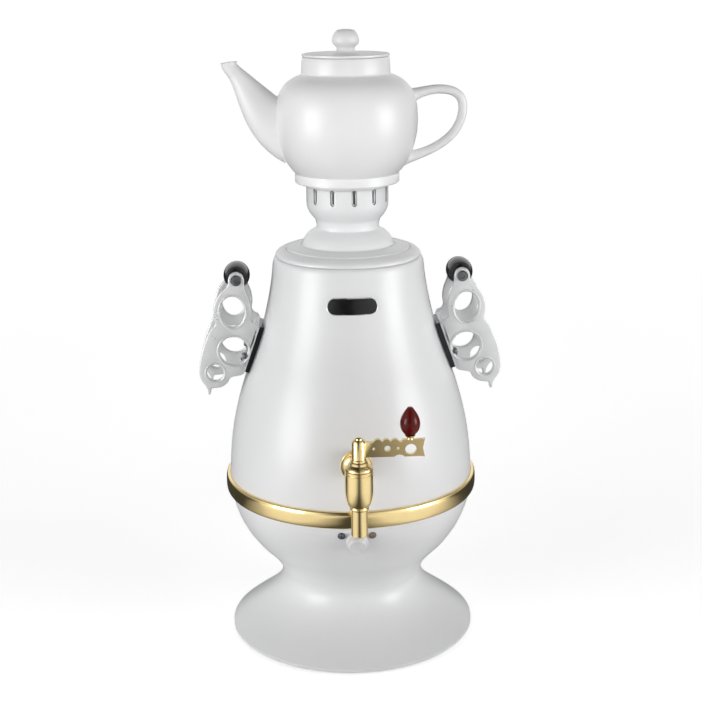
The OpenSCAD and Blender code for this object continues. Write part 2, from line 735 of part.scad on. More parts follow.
// Tap body: barrel with its taper and outlet, shank to the vessel, round flange
module tap_body() {
    outlet_r = outlet_d / 2;
    color("#d9b557") difference() {
        union() {
            at_tap() turned(concat(
                [[0, outlet_z], [outlet_r - 0.6, outlet_z], [outlet_r, outlet_z + 0.6]],
                [[outlet_r, outlet_top_z - 2.2], [outlet_r + 0.9, outlet_top_z - 1.6],
                 [outlet_r + 0.9, outlet_top_z - 0.4]],
                bezier([outlet_r + 0.6, outlet_top_z], [outlet_r + 2.4, outlet_top_z + 1],
                    [barrel_r, outlet_top_z + 0.35 * taper_h], [barrel_r, taper_top_z], 8),
                [[barrel_r, barrel_top_z], [0, barrel_top_z]]));
            along_shank(-tap_out) cylinder(h = thread_end_y + tap_out, r = shank_d / 2);
            along_shank(seat_out_y - rosette_t) cylinder(h = rosette_t, r = rosette_d / 2);
            along_shank(seat_out_y - rosette_t - 5)
                cylinder(h = 5, r1 = shank_d / 2 + 0.4, r2 = rosette_d / 2 - 3);
        }
        at_tap() {
            translate([0, 0, outlet_z - 1]) cylinder(h = plug_z - outlet_z, r = outlet_bore / 2);
            translate([0, 0, plug_z - 1.5]) cylinder(h = 1.6, r = plug_r);
            translate([0, 0, plug_z])
                cylinder(h = plug_top_z - plug_z, r1 = plug_r + run, r2 = plug_top_r + run);
            translate([0, 0, plug_top_z - 0.01]) cylinder(h = 30, r = bonnet_thread_r + run);
        }
        along_shank(-tap_out) cylinder(h = tap_out, r = shank_bore / 2);
    }
}

// Washers between the tap's flat faces and the vessel's leaning wall
module tap_outer_seal() {
    color("#b9b9b4") difference() {
        along_shank(seat_out_y) cylinder(h = 12, r = rosette_d / 2 - 1.5);
        along_shank(seat_out_y - 1) cylinder(h = 20, r = shank_d / 2 + snug);
        vessel_outside(snug);
    }
}

module tap_inner_seal() {
    color("#b9b9b4") intersection() {
        difference() {
            along_shank(seat_in_y - 12) cylinder(h = 12, r = rosette_d / 2 - 2);
            along_shank(seat_in_y - 14) cylinder(h = 20, r = shank_d / 2 + snug);
        }
        vessel_inside(snug);
    }
}

module tap_nut() {
    color("#c9a44c") along_shank(seat_in_y) hex_nut(rosette_d - 6, 6, shank_d / 2 + run);
}

// Plug: tapered cock, hollow from below, with one side port; closed, the port faces -X
module tap_plug() {
    stem_top_z = barrel_top_z + bonnet_h + hub_h - 4;
    color("#b08d3c") at_tap() difference() {
        union() {
            translate([0, 0, plug_z]) cylinder(h = plug_top_z - plug_z, r1 = plug_r, r2 = plug_top_r);
            translate([0, 0, plug_top_z - 0.1]) cylinder(h = stem_top_z - plug_top_z + 0.1, r = stem_d / 2);
        }
        translate([0, 0, plug_z - 1])
            cylinder(h = tap_z + shank_bore / 2 - plug_z + 1, r = shank_bore / 2 - 0.2);
        translate([0, 0, stem_top_z - 8]) cylinder(h = 9, r = 1.5 + run);
        translate([0, 0, tap_z]) rotate([0, -90, 0]) cylinder(h = barrel_r, r = shank_bore / 2 - 0.3);
    }
}

module spring_washer() {
    color("silver") at_tap() translate([0, 0, plug_top_z + 0.2]) difference() {
        cylinder(h = 1.2, r = bonnet_thread_r - 0.6);
        translate([0, 0, -1]) cylinder(h = 4, r = stem_d / 2 + 0.3);
    }
}

// Bonnet nut: threaded part in the barrel, cone with a collar above it, groove for the seal ring
seal_z = barrel_top_z + bonnet_h / 2;
seal_ring_r = 0.8;
module tap_bonnet() {
    bottom_z = plug_top_z + 1.7;
    top_z = barrel_top_z + bonnet_h;
    stem_gap_r = stem_d / 2 + run;
    color("#c9a44c") at_tap() difference() {
        turned([[0, bottom_z], [bonnet_thread_r, bottom_z], [bonnet_thread_r, barrel_top_z + snug],
            [barrel_r - 0.2, barrel_top_z + snug], [barrel_r - 0.6, barrel_top_z + 1.6],
            [hub_d / 2 + 1.6, top_z - 2], [hub_d / 2 + 1.6, top_z], [0, top_z]]);
        translate([0, 0, bottom_z - 1]) cylinder(h = top_z - bottom_z + 2, r = stem_gap_r);
        translate([0, 0, seal_z - 1]) cylinder(h = 2, r = stem_gap_r + 2 * seal_ring_r);
    }
}

module tap_o_ring() {
    color("#222222") at_tap() translate([0, 0, seal_z])
        rotate_extrude() translate([stem_d / 2 + run + seal_ring_r, 0])
            circle(r = seal_ring_r - 0.02, $fn = 24);
}

hub_z = barrel_top_z + bonnet_h + fit;
lever_top_z = hub_z + hub_h - 0.6;
// Side view of the lever: plate with a scalloped top, two holes and a forked end
module lever_outline() {
    mid = lever_h / 2;
    difference() {
        union() {
            translate([0, -lever_h]) square([lever_l - 4, lever_h - 1.6]);
            translate([jewel_out - 6, -lever_h]) square([lever_l - jewel_out + 4, lever_h]);
            for (k = [0 : 2]) translate([14 + 6.4 * k, -2.6]) circle(r = 3.2);
            polygon([[lever_l - 5, -lever_h + 1], [lever_l, -lever_h - 0.6], [lever_l - 1.6, -mid],
                [lever_l, 0.4], [lever_l - 5, -1]]);
        }
        translate([jewel_out + 0.5, -mid - 1]) circle(r = 4.2);
        translate([21.2, -mid]) circle(r = 2.3);
        for (x = [11, 29]) translate([x, -mid]) circle(r = 1.1);
        translate([30, -lever_h - 3.4]) circle(r = 5);
    }
}

module tap_lever() {
    stem_depth = hub_h - 4 + fit;
    color("#dcb95c") at_tap() difference() {
        union() {
            translate([0, 0, hub_z]) turned([[0, 0], [hub_d / 2 + 0.6, 0], [hub_d / 2 + 0.6, 1.4],
                [hub_d / 2, 2], [hub_d / 2, hub_h - 2.6], [hub_d / 2 - 0.7, hub_h - 1],
                [hub_d / 2 - 2, hub_h], [0, hub_h]]);
            translate([0, lever_t / 2, lever_top_z]) rotate([90, 0, 0])
                linear_extrude(height = lever_t) lever_outline();
        }
        translate([0, 0, hub_z - 1]) cylinder(h = stem_depth + 1, r = stem_d / 2 + 0.02);
        translate([0, 0, hub_z + stem_depth - 1]) cylinder(h = hub_h, r = 1.6);
    }
}

module lever_screw() {
    color("#b8923e") at_tap() {
        translate([0, 0, hub_z + hub_h]) turned([[0, 0], [2.8, 0], [2.6, 0.8], [1.4, 1.5], [0, 1.7]]);
        translate([0, 0, hub_z + hub_h - 11]) cylinder(h = 11.1, r = 1.5);
    }
}

// Gold cup under the red knob, with a stud that goes up into it
module knob_cup() {
    color("#d9b557") translate([jewel_out, -tap_out, lever_top_z]) {
        turned([[0, 0], [2.6, 0], [2.2, 1], [3.4, 2], [4.2, 3.2], [0, 3.2]]);
        translate([0, 0, 3]) cylinder(h = 8, r = 1.5);
    }
}

module lever_knob() {
    r = jewel_d / 2;
    color("#6d0f14") translate([jewel_out, -tap_out, lever_top_z + 3.2]) difference() {
        turned(concat([[0, 0], [3.6, 0]],
            bezier([3.6, 0.2], [r * 0.75, 0.12 * jewel_h], [r, 0.2 * jewel_h], [r, 0.42 * jewel_h], 5),
            after_first(bezier([r, 0.42 * jewel_h], [r, 0.66 * jewel_h],
                [0.5 * r, 0.86 * jewel_h], [0.28 * r, jewel_h], 7)),
            [[0, jewel_h]]));
        translate([0, 0, -1]) cylinder(h = 9.4, r = 1.5 + run);
    }
}

// ======== side handles ========
grip_at = [grip_out, grip_up];
eye_r = 6.4;
upper_loop = [17.5, 34];
lower_loop = [17.5, 1.5];
lower_hole_r = 11.6;
bead_r = 2.4;
scroll = [33, -16.5];
arm_inside = arm_gap / 2 - arm_t / 2;

function oval_points(rx, ry, n) = [for (k = [0 : n - 1]) [rx * cos(360 * k / n), ry * sin(360 * k / n)]];

// One arm from the side: eye for the grip, upright loop, broad web, round loop, scroll and tail
module arm_outline() {
    difference() {
        union() {
            translate(grip_at) circle(r = eye_r);
            polygon([[7, 45], [28, 45], [grip_at[0] + 5.8, 57.5], [grip_at[0] - 5.8, 57.5]]);
            translate(upper_loop) polygon(oval_points(15.4, 18, 48));
            polygon([[0, 24], [8, 22], [28, 22], [35.5, 20], [37.5, 15], [33, 8], [16, 12], [0, 14]]);
            translate(lower_loop) circle(r = 17);
            polygon([[28, 16], [37.5, 15], [42.5, 4], [45.8, -12], [38, -14], [30, -2]]);
            translate(scroll) circle(r = 13);
            polygon([[10, -19], [20, -8], [30, -28], [22, -22]]);
            polygon([[29, -27], [42, -25], [40, -29], [38.4, -34.5], [36, -29]]);
            translate([38.2, -33.4]) circle(r = 1.5, $fn = 24);
        }
        translate(grip_at) circle(r = rod_d / 2 + run);
        translate(upper_loop) polygon(oval_points(9.8, 12.6, 48));
        translate(lower_loop) circle(r = lower_hole_r);
        translate(scroll) circle(r = 6.8);
    }
    translate(lower_loop - (lower_hole_r - bead_r / 2) * [cos(26), sin(26)]) circle(r = bead_r);
}

module handle_bracket() {
    difference() {
        union() {
            intersection() {
                for (side = [-1, 1]) translate([handle_r, side * arm_gap / 2 + arm_t / 2, handle_z])
                    rotate([90, 0, 0]) linear_extrude(height = arm_t) arm_outline();
                on_flank() translate([spacer_t, -arm_gap, -60]) cube([80, 2 * arm_gap, 160]);
            }
            on_flank() translate([spacer_t, -arm_gap / 2 - arm_t / 2, -plate_l / 2])
                cube([plate_t, arm_gap + arm_t, plate_l]);
        }
        on_flank() handle_bolt_places() translate([0, 0, spacer_t - 1])
            cylinder(h = plate_t + 2, r = m5_r + 0.2);
    }
}

module handle_spacer() {
    difference() {
        on_flank() translate([-8, -spacer_w / 2, -plate_l / 2 + 1])
            cube([8 + spacer_t, spacer_w, plate_l - 2]);
        vessel_outside(snug);
        on_flank() handle_bolt_places() translate([0, 0, -9]) cylinder(h = 20, r = m5_r + 0.2);
    }
}

module handle_screw_pair() {
    on_flank() handle_bolt_places() {
        translate([0, 0, spacer_t + plate_t]) turned([[0, 0], [4.6, 0], [4.6, 1.2], [3.2, 2.6], [0, 2.9]]);
        translate([0, 0, -9]) cylinder(h = 9.1 + spacer_t + plate_t, r = m5_r);
    }
}

// Silicone washer inside the vessel wall, and the nut behind it
washer_t = 2.4;
module handle_seal_pair() {
    difference() {
        intersection() {
            on_flank() handle_bolt_places() translate([0, 0, -sheet - washer_t])
                cylinder(h = washer_t + 2, r = 6);
            vessel_inside(snug);
        }
        on_flank() handle_bolt_places() translate([0, 0, -9]) cylinder(h = 14, r = m5_r + run);
    }
}
module handle_nut_pair() {
    on_flank() handle_bolt_places() translate([0, 0, -sheet - washer_t - 4]) hex_nut(8, 4, m5_r + run);
}

module at_grip() {
    translate([handle_r + grip_out, 0, handle_z + grip_up]) rotate([90, 0, 0]) children();
}

// Barrel-shaped grip with a bore for the rod, between the two arms
module grip() {
    half = arm_inside - snug;
    bulge = [for (k = [-6 : 6]) let (t = k / 6)
        [grip_d / 2 - (grip_d - grip_end_d) / 2 * t * t, half * t]];
    at_grip() difference() {
        turned(concat([[0, -half]], bulge, [[0, half]]));
        cylinder(h = 4 * half, r = rod_d / 2 + run, center = true);
    }
}

module grip_rod() {
    at_grip() cylinder(h = arm_gap + arm_t, r = rod_d / 2, center = true);
}

// Round caps on the rod's ends, each with a hexagon socket
module grip_cap_pair() {
    end = arm_gap / 2 + arm_t / 2;
    for (side = [0, 1]) mirror([0, side, 0]) at_grip() difference() {
        translate([0, 0, end]) turned([[0, 0], [4.4, 0], [4.4, 1.2], [3.6, 2.2], [0, 2.4]]);
        translate([0, 0, end + 1]) cylinder(h = 4, r = 2, $fn = 6);
    }
}

module left_handle_bracket() {
    color("#c9cbcd") mirror([1, 0, 0]) handle_bracket();
}
module right_handle_bracket() {
    color("#c9cbcd") handle_bracket();
}
module handle_spacers() {
    color("#1b1b1d") both_sides() handle_spacer();
}
module handle_screws() {
    color("silver") both_sides() handle_screw_pair();
}
module handle_nuts() {
    color("silver") both_sides() handle_nut_pair();
}
module handle_seals() {
    color("#b9b9b4") both_sides() handle_seal_pair();
}
module left_grip() {
    color("#151517") mirror([1, 0, 0]) grip();
}
module right_grip() {
    color("#151517") grip();
}
module grip_rods() {
    color("silver") both_sides() grip_rod();
}
module grip_caps() {
    color("silver") both_sides() grip_cap_pair();
}

// ======== lid and crown ========
lid_r = lid_d / 2;
lid_z = mouth_z + fit;
neck_r = neck_d / 2;
neck_z = lid_z + lid_h;
spigot_r = mouth_r - fit;
pipe_r = pipe_d / 2;
// Lid from the brim up: rounded brim, groove, low dome, groove, bell and neck
lid_path = concat(
    bezier([lid_r, lid_z + 1.2], [lid_r - 0.4, lid_z + 3.6],
        [lid_r - 4, lid_z + 5.6], [lid_r - 8, lid_z + 6.4], 5),
    [[lid_r - 8.8, lid_z + 6.1], [lid_r - 9.5, lid_z + 6.9]],
    bezier([lid_r - 9.6, lid_z + 7.1], [lid_r - 14, lid_z + 8.4],
        [lid_r - 17, lid_z + 9], [neck_r + 13, lid_z + 9.6], 4),
    [[neck_r + 12.2, lid_z + 9.3], [neck_r + 11.4, lid_z + 10.4]],
    bezier([neck_r + 11.2, lid_z + 11], [neck_r + 9.4, lid_z + 16], [neck_r + 6, lid_z + 20],
        [neck_r + 1.2, lid_z + 21.6], 6),
    bezier([neck_r, lid_z + 22.6], [neck_r - 0.3, lid_z + 24], [neck_r - 0.3, neck_z - 1],
        [neck_r, neck_z], 3));

module samovar_lid() {
    inner = inset(lid_path, sheet);
    under = [for (p = inner) [min(p[0], spigot_r - sheet), min(p[1], neck_z - sheet)]];
    color("#f0f1f3") turned(concat(
        [[lid_r, lid_z]], lid_path,
        [[pipe_r + snug, neck_z], [pipe_r + snug, neck_z - sheet]],
        reversed(under),
        [[spigot_r - sheet, mouth_z - spigot_h], [spigot_r, mouth_z - spigot_h], [spigot_r, lid_z]]));
}

crown_z = neck_z;
crown_top_z = crown_z + crown_h;
crown_r = crown_d / 2;
crown_rim_r = crown_rim_d / 2;
slot_z = crown_z + crown_h - 10.5;

// Cutters for a ring of upright slots of that width and height, from start outwards
module slot_cutters(wide, high, start) {
    for (k = [0 : slot_n - 1]) rotate([0, 0, 360 * (k + slot_turn) / slot_n])
        translate([start, 0, slot_z]) rotate([0, 90, 0]) {
            for (end = [-1, 1]) translate([end * (high - wide) / 2, 0, 0]) cylinder(h = 12, r = wide / 2);
            translate([-(high - wide) / 2, -wide / 2, 0]) cube([high - wide, wide, 12]);
        }
}

// Crown: a slotted basket for the teapot, with a threaded pipe for steam down through the lid
module crown() {
    outer = concat(
        [[neck_r + 0.3, crown_z], [neck_r + 0.6, crown_z + 2.4]],
        bezier([neck_r + 1.4, crown_z + 3.6], [crown_r - 2.6, crown_z + 7],
            [crown_r, crown_z + 11], [crown_r, crown_z + 16], 6),
        [[crown_r, crown_top_z - 5], [crown_rim_r, crown_top_z - 3.4], [crown_rim_r, crown_top_z]]);
    inner_r = crown_r - crown_wall;
    pipe_bore_r = pipe_r - pipe_wall;
    color("#e9ebed") difference() {
        turned(concat(outer, [
            [inner_r, crown_top_z], [inner_r, crown_z + 15], [pipe_bore_r + 4, crown_z + 3.4],
            [pipe_bore_r, crown_z + 3.4], [pipe_bore_r, crown_z - pipe_h], [pipe_r, crown_z - pipe_h],
            [pipe_r, crown_z]]));
        slot_cutters(slot_w, slot_h, crown_r - slot_deep);
        slot_cutters(slit_w, slot_h - 3, inner_r - 4);
    }
}

module crown_nut() {
    color("silver") translate([0, 0, neck_z - sheet - 4 - snug]) difference() {
        cylinder(h = 4, r = min(pipe_r + 5, neck_r - sheet - 1));
        translate([0, 0, -1]) cylinder(h = 6, r = pipe_r + run);
    }
}

// ======== teapot ========
pot_r = pot_d / 2;
pot_foot_r = pot_foot_d / 2;
pot_seat_z = crown_top_z + fit;
pot_z = pot_seat_z - pot_step;
collar_r = collar_d / 2;
root_z = pot_z + pot_root_up;
rim_top_z = root_z + collar_h;
ledge_z = rim_top_z - ledge_down;
ledge_bore_r = strainer_d / 2;
collar_bore_r = collar_r - pot_wall - 0.9;
belly_z = pot_z + pot_belly_up;

belly_path = concat(
    bezier([pot_foot_r - 0.4, pot_z + pot_foot_h + 0.6], [pot_foot_r + 6.2, pot_z + pot_foot_h + 7],
        [pot_r, belly_z - 20], [pot_r, belly_z], 9),
    after_first(bezier([pot_r, belly_z], [pot_r, belly_z + 16], [pot_r - 3, root_z - 5.6],
        [collar_r + 1.2, root_z], 9)));

// A tube swept along a path in the XZ plane: w is its half width across Y, h its half height
function sweep_ring(path, i, w, h, sides) =
    let (last = len(path) - 1, way = path[min(i + 1, last)] - path[max(i - 1, 0)],
         side = [-way[1], way[0]] / norm(way))
    [for (k = [0 : sides - 1]) let (a = 360 * k / sides)
        [path[i][0] + h[i] * sin(a) * side[0], w[i] * cos(a), path[i][1] + h[i] * sin(a) * side[1]]];

module swept(path, w, h, sides) {
    last = len(path) - 1;
    points = [for (i = [0 : last]) each sweep_ring(path, i, w, h, sides)];
    walls = [for (i = [0 : last - 1], k = [0 : sides - 1])
        let (a = i * sides + k, b = i * sides + (k + 1) % sides)
            each [[a, b + sides, b], [a, a + sides, b + sides]]];
    bottom = [[for (k = [0 : sides - 1]) k]];
    top = [[for (k = [sides - 1 : -1 : 0]) last * sides + k]];
    polyhedron(points, concat(walls, bottom, top));
}

// Middle line of the spout, from inside the belly to the tip, and its half sizes
spout_tip = [-spout_out, pot_z + spout_up];
spout_root = [-pot_r + 12, pot_z + 43];
spout_path = bezier(spout_root, spout_root + [-26, 0], spout_tip + [10, -32], spout_tip, 8);
function eased(a, b, n) = [for (i = [0 : n]) let (t = i / n) a + (b - a) * (1 - pow(1 - t, 1.5))];
spout_h = eased(20, 5.2, 8);
spout_w = eased(12.5, 5, 8);

ear_top = [pot_r - 3, pot_z + 68];
ear_foot_z = pot_z + 17;
ear_foot = [radius_at(belly_path, ear_foot_z) - 2, ear_foot_z];
ear_far = [ear_out, pot_z + 58];
ear_path = concat(
    bezier(ear_top, ear_top + [18, 7], ear_far + [0, 17], ear_far, 7),
    after_first(bezier(ear_far, ear_far - [0, 23], ear_foot + [22, 5], ear_foot, 9)));

module teapot() {
    cavity = [for (p = inset(belly_path, pot_wall)) p];
    color("#f1f1f1") difference() {
        union() {
            turned(concat(
                [[0, pot_z], [pot_foot_r - 0.8, pot_z], [pot_foot_r, pot_z + 0.8],
                 [pot_foot_r, pot_z + pot_foot_h - 0.6], [pot_foot_r - 0.6, pot_z + pot_foot_h]],
                belly_path,
                [[collar_r, root_z + 1.6], [collar_r - 0.7, rim_top_z - 0.6],
                 [collar_r - 1.3, rim_top_z], [0, rim_top_z]]));
            swept(spout_path, spout_w, spout_h, 20);
            swept(ear_path, [for (p = ear_path) ear_t / 2 + 0.6], [for (p = ear_path) ear_t / 2], 12);
        }
        turned(concat(
            [[0, pot_z + pot_step + pot_wall], [pot_foot_r - 8, pot_z + pot_step + pot_wall]],
            [for (p = cavity) if (p[1] > pot_z + pot_foot_h + 4 && p[0] > ledge_bore_r) p],
            [[ledge_bore_r, root_z - 2], [ledge_bore_r, ledge_z], [collar_bore_r, ledge_z],
             [collar_bore_r, rim_top_z + 1], [0, rim_top_z + 1]]));
        translate([0, 0, pot_z - 1]) cylinder(h = pot_step + 1, r = crown_rim_r + fit);
        swept([for (i = [0 : 8]) spout_path[i] + (i == 8 ? [-0.6, 2] : [0, 0])],
            [for (w = spout_w) w - 2.3], [for (h = spout_h) h - 2.5 - h / 14], 16);
    }
}

// Strainer: flange on the ledge, straight basket with rows of holes, perforated floor
module tea_strainer() {
    basket_r = ledge_bore_r - 0.6;
    t = 0.8;
    floor = ledge_z - basket_h;
    color("#c8cbce") difference() {
        turned([[0, floor], [basket_r - 2, floor], [basket_r, floor + 2], [basket_r, ledge_z + fit],
            [collar_bore_r - fit, ledge_z + fit], [collar_bore_r - fit, ledge_z + fit + t],
            [basket_r - t, ledge_z + fit + t], [basket_r - t, floor + 2.4], [basket_r - 2.4, floor + t],
            [0, floor + t]]);
        for (row = [0 : 3], k = [0 : 11]) rotate([0, 0, 30 * k + 15 * (row % 2)])
            translate([basket_r - 4, 0, floor + 8 + 7 * row]) rotate([0, 90, 0]) cylinder(h = 8, r = 1.4);
        for (ring = [1 : 2], k = [0 : 6 * ring - 1]) rotate([0, 0, 60 * k / ring])
            translate([7.5 * ring, 0, floor - 1]) cylinder(h = 4, r = 1.3);
        translate([0, 0, floor - 1]) cylinder(h = 4, r = 1.3);
    }
}

module teapot_lid() {
    z = rim_top_z + fit;
    top = z + pot_lid_t;
    r = collar_r - 0.8;
    kr = knob_d / 2;
    plug = collar_bore_r - fit;
    color("#f1f1f1") difference() {
        turned(concat(
            [[0, z - 5], [plug - 0.8, z - 5], [plug, z - 4.2], [plug, z], [r - 0.8, z], [r, z + 0.8],
             [r, top - 1], [r - 1, top - 0.2], [kr, top + 0.4]],
            bezier([0.7 * kr, top + 1], [0.6 * kr, top + 3], [0.8 * kr, top + 5], [kr, top + 9], 5),
            after_first(bezier([kr, top + 9], [kr + 0.2, top + 0.66 * knob_h],
                [0.9 * kr, knob_h + top - 2], [0.66 * kr, top + knob_h], 6)),
            [[0, top + knob_h]]));
        translate([0, 0, z - 6]) cylinder(h = 5, r = plug - 3);
        translate([plug - 7.5, 0, z - 3]) cylinder(h = 12, r = 1.2);
    }
}

foot_shell();
base_plate();
base_screws();
rubber_feet();
waist_bolts();
waist_nuts();
lower_bowl();
power_inlet();
inlet_pins();
thermostat();
thermostat_nut();
thermostat_spindle();
thermostat_knob();
heating_lamp();
keep_warm_lamp();
terminal_block();
thermal_cutout();
cutout_clip();
clip_nuts();
wires_live();
wires_neutral();
wires_earth();
wire_link();
belt_ring();
vessel_shell();
vessel_floor();
heating_element();
element_seals();
element_nuts();
badge();
tap_body();
tap_outer_seal();
tap_inner_seal();
tap_nut();
tap_plug();
spring_washer();
tap_bonnet();
tap_o_ring();
tap_lever();
lever_screw();
knob_cup();
lever_knob();
left_handle_bracket();
right_handle_bracket();
handle_spacers();
handle_screws();
handle_seals();
handle_nuts();
left_grip();
right_grip();
grip_rods();
grip_caps();
samovar_lid();
crown();
crown_nut();
teapot();
tea_strainer();
teapot_lid();
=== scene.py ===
# %% [markdown]
# # A samovar, dressed in Blender
#
# A samovar boils water in a tall vessel and keeps a teapot warm on its crown. Its frame was built
# as solids first, and here it gets its surfaces. Each step has a short lesson before its code. All
# sizes in the profiles are millimetres, as on a workshop drawing, and become metres in the meshes.

# %% Load the frame
import bpy
import bmesh
import json
import math
import numpy as np
from mathutils import Matrix, Vector


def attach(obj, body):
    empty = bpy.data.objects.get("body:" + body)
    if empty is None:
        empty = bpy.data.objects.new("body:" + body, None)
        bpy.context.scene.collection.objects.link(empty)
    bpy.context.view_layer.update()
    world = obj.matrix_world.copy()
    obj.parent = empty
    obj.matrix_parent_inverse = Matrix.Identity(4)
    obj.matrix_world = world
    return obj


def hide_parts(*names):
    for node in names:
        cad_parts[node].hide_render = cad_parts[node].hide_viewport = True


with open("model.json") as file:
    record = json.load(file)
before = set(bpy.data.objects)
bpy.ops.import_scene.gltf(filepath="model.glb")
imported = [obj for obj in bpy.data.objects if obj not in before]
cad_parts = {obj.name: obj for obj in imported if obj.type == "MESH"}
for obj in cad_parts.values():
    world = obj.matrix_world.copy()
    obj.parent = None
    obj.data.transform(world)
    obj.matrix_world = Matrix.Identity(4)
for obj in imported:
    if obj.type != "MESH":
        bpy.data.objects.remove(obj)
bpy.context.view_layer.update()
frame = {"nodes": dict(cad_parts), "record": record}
print("solids loaded:", len(frame["nodes"]))

# %% [markdown]
# ## The camera comes first
#
# Every later choice is judged through the camera, so it is made before anything else. It stands
# 1.1 m in front of the samovar and looks down by about 16 degrees. The three turns are multiplied
# in order: first a slight roll, then the tilt, then the turn about the upright axis.

# %% Camera
picture_wide, focal_pixels = 702, 1379
camera_data = bpy.data.cameras.new("camera")
camera_data.sensor_width = 36
camera_data.lens = 36 * focal_pixels / picture_wide
camera_data.clip_end = 30
camera = bpy.data.objects.new("camera", camera_data)
bpy.context.scene.collection.objects.link(camera)
turn, tilt, roll = math.radians(-2.6), math.radians(90 - 15.66), math.radians(-0.67)
camera.matrix_world = (
    Matrix.Translation((-0.0485, -1.0999, 0.552))
    @ Matrix.Rotation(turn, 4, "Z")
    @ Matrix.Rotation(tilt, 4, "X")
    @ Matrix.Rotation(roll, 4, "Z"))
bpy.context.scene.camera = camera
print("lens in mm:", round(camera_data.lens, 1))

# %% [markdown]
# ## Light for white and gold
#
# A white object on a white ground is drawn by the shade on it, so the two main lamps are large and
# soft and stand at the sides, and the middle of the front is left a little darker. Three small lamps
# with a narrow beam then lift the teapot and both flanks of the belly. The world is plain white for
# the camera. Mirror rays see a studio that is bright at both sides, with a dark strip behind the
# camera, because polished metal is only as good as what it has to mirror.

# %% World
world = bpy.data.worlds.new("studio")
bpy.context.scene.world = world
world.use_nodes = True
wt = world.node_tree
wt.nodes.clear()
where = wt.nodes.new("ShaderNodeTexCoord")
split = wt.nodes.new("ShaderNodeSeparateXYZ")
wt.links.new(where.outputs["Generated"], split.inputs[0])


def banded(axis, stops):
    """A grey level that follows one axis of the direction, from -1 to 1, through the given stops."""
    spread = wt.nodes.new("ShaderNodeMath")
    spread.operation = "MULTIPLY_ADD"
    spread.inputs[1].default_value = spread.inputs[2].default_value = 0.5
    wt.links.new(split.outputs[axis], spread.inputs[0])
    bands = wt.nodes.new("ShaderNodeValToRGB")
    wt.links.new(spread.outputs[0], bands.inputs["Fac"])
    for place, level in stops[1:-1]:
        bands.color_ramp.elements.new((place + 1) / 2)
    for element, (place, level) in zip(bands.color_ramp.elements, stops):
        element.position = (place + 1) / 2
        element.color = (level, level, level, 1)
    return bands.outputs["Color"]


def mixed(operation, first, second):
    """A vector math node of the world on two levels."""
    node = wt.nodes.new("ShaderNodeVectorMath")
    node.operation = operation
    wt.links.new(first, node.inputs[0])
    wt.links.new(second, node.inputs[1])
    return node.outputs[0]


def backdrop(level, strength=1.0):
    """A background of that level."""
    side = wt.nodes.new("ShaderNodeBackground")
    side.inputs["Strength"].default_value = strength
    wt.links.new(level, side.inputs["Color"])
    return side.outputs[0]


ground = wt.nodes.new("ShaderNodeBackground")
ground.inputs["Color"].default_value = (1, 1, 1, 1)
across = banded("X", [
    (-1, 0.6), (-0.9, 0.95), (-0.6, 1.0), (-0.38, 0.32), (-0.2, 0.07), (0.02, 0.05), (0.1, 0.42),
    (0.3, 0.6), (0.55, 0.85), (0.9, 1.0), (1, 0.6)])
upwards = banded("Z", [(-1, 0.9), (-0.1, 1.0), (0.4, 1.0), (0.7, 0.6), (1, 0.5)])
forwards = banded("Y", [(-1, 1), (0, 1), (0.2, 0.35), (0.65, 0.35), (0.85, 0.75), (1, 0.75)])
behind = banded("Y", [(-1, 0), (0.6, 0), (0.85, 0.75), (1, 0.75)])
mirrored = mixed("MULTIPLY", mixed("MULTIPLY", across, upwards), forwards)
gloss_side = backdrop(mixed("MAXIMUM", mirrored, behind), 1.35)
soft_side = backdrop(mixed(
    "MULTIPLY",
    banded("X", [(-1, 1.0), (-0.5, 0.85), (0, 0.25), (0.5, 0.85), (1, 1.0)]),
    banded("Z", [(-1, 0.9), (0.1, 1.0), (0.5, 0.35), (1, 0)])), 1.0)
paths = wt.nodes.new("ShaderNodeLightPath")
looks = wt.nodes.new("ShaderNodeMath")
looks.operation = "ADD"
pick_mirror = wt.nodes.new("ShaderNodeMixShader")
pick_camera = wt.nodes.new("ShaderNodeMixShader")
sky = wt.nodes.new("ShaderNodeOutputWorld")
wt.links.new(paths.outputs["Is Glossy Ray"], pick_mirror.inputs["Fac"])
wt.links.new(soft_side, pick_mirror.inputs[1])
wt.links.new(gloss_side, pick_mirror.inputs[2])
wt.links.new(paths.outputs["Is Camera Ray"], looks.inputs[0])
wt.links.new(paths.outputs["Is Transmission Ray"], looks.inputs[1])
wt.links.new(looks.outputs[0], pick_camera.inputs["Fac"])
wt.links.new(pick_mirror.outputs[0], pick_camera.inputs[1])
wt.links.new(ground.outputs[0], pick_camera.inputs[2])
wt.links.new(pick_camera.outputs[0], sky.inputs["Surface"])
bpy.context.scene.view_settings.view_transform = "Standard"


# %% Lamps
def soft_lamp(name, place, aim, size, power, spread=180):
    """A lamp of that size in metres, turned to its aim, whose beam spreads over that many degrees.

    A lamp with a narrow beam is small, so it stays out of the mirror rays, where it would be a dot.
    """
    lamp_data = bpy.data.lights.new(name, "AREA")
    lamp_data.shape = "RECTANGLE"
    lamp_data.size, lamp_data.size_y = size
    lamp_data.energy = power
    lamp_data.spread = math.radians(spread)
    lamp = bpy.data.objects.new(name, lamp_data)
    lamp.location = place
    lamp.rotation_euler = (Vector(aim) - Vector(place)).to_track_quat("-Z", "Y").to_euler()
    lamp.visible_glossy = spread == 180
    bpy.context.scene.collection.objects.link(lamp)


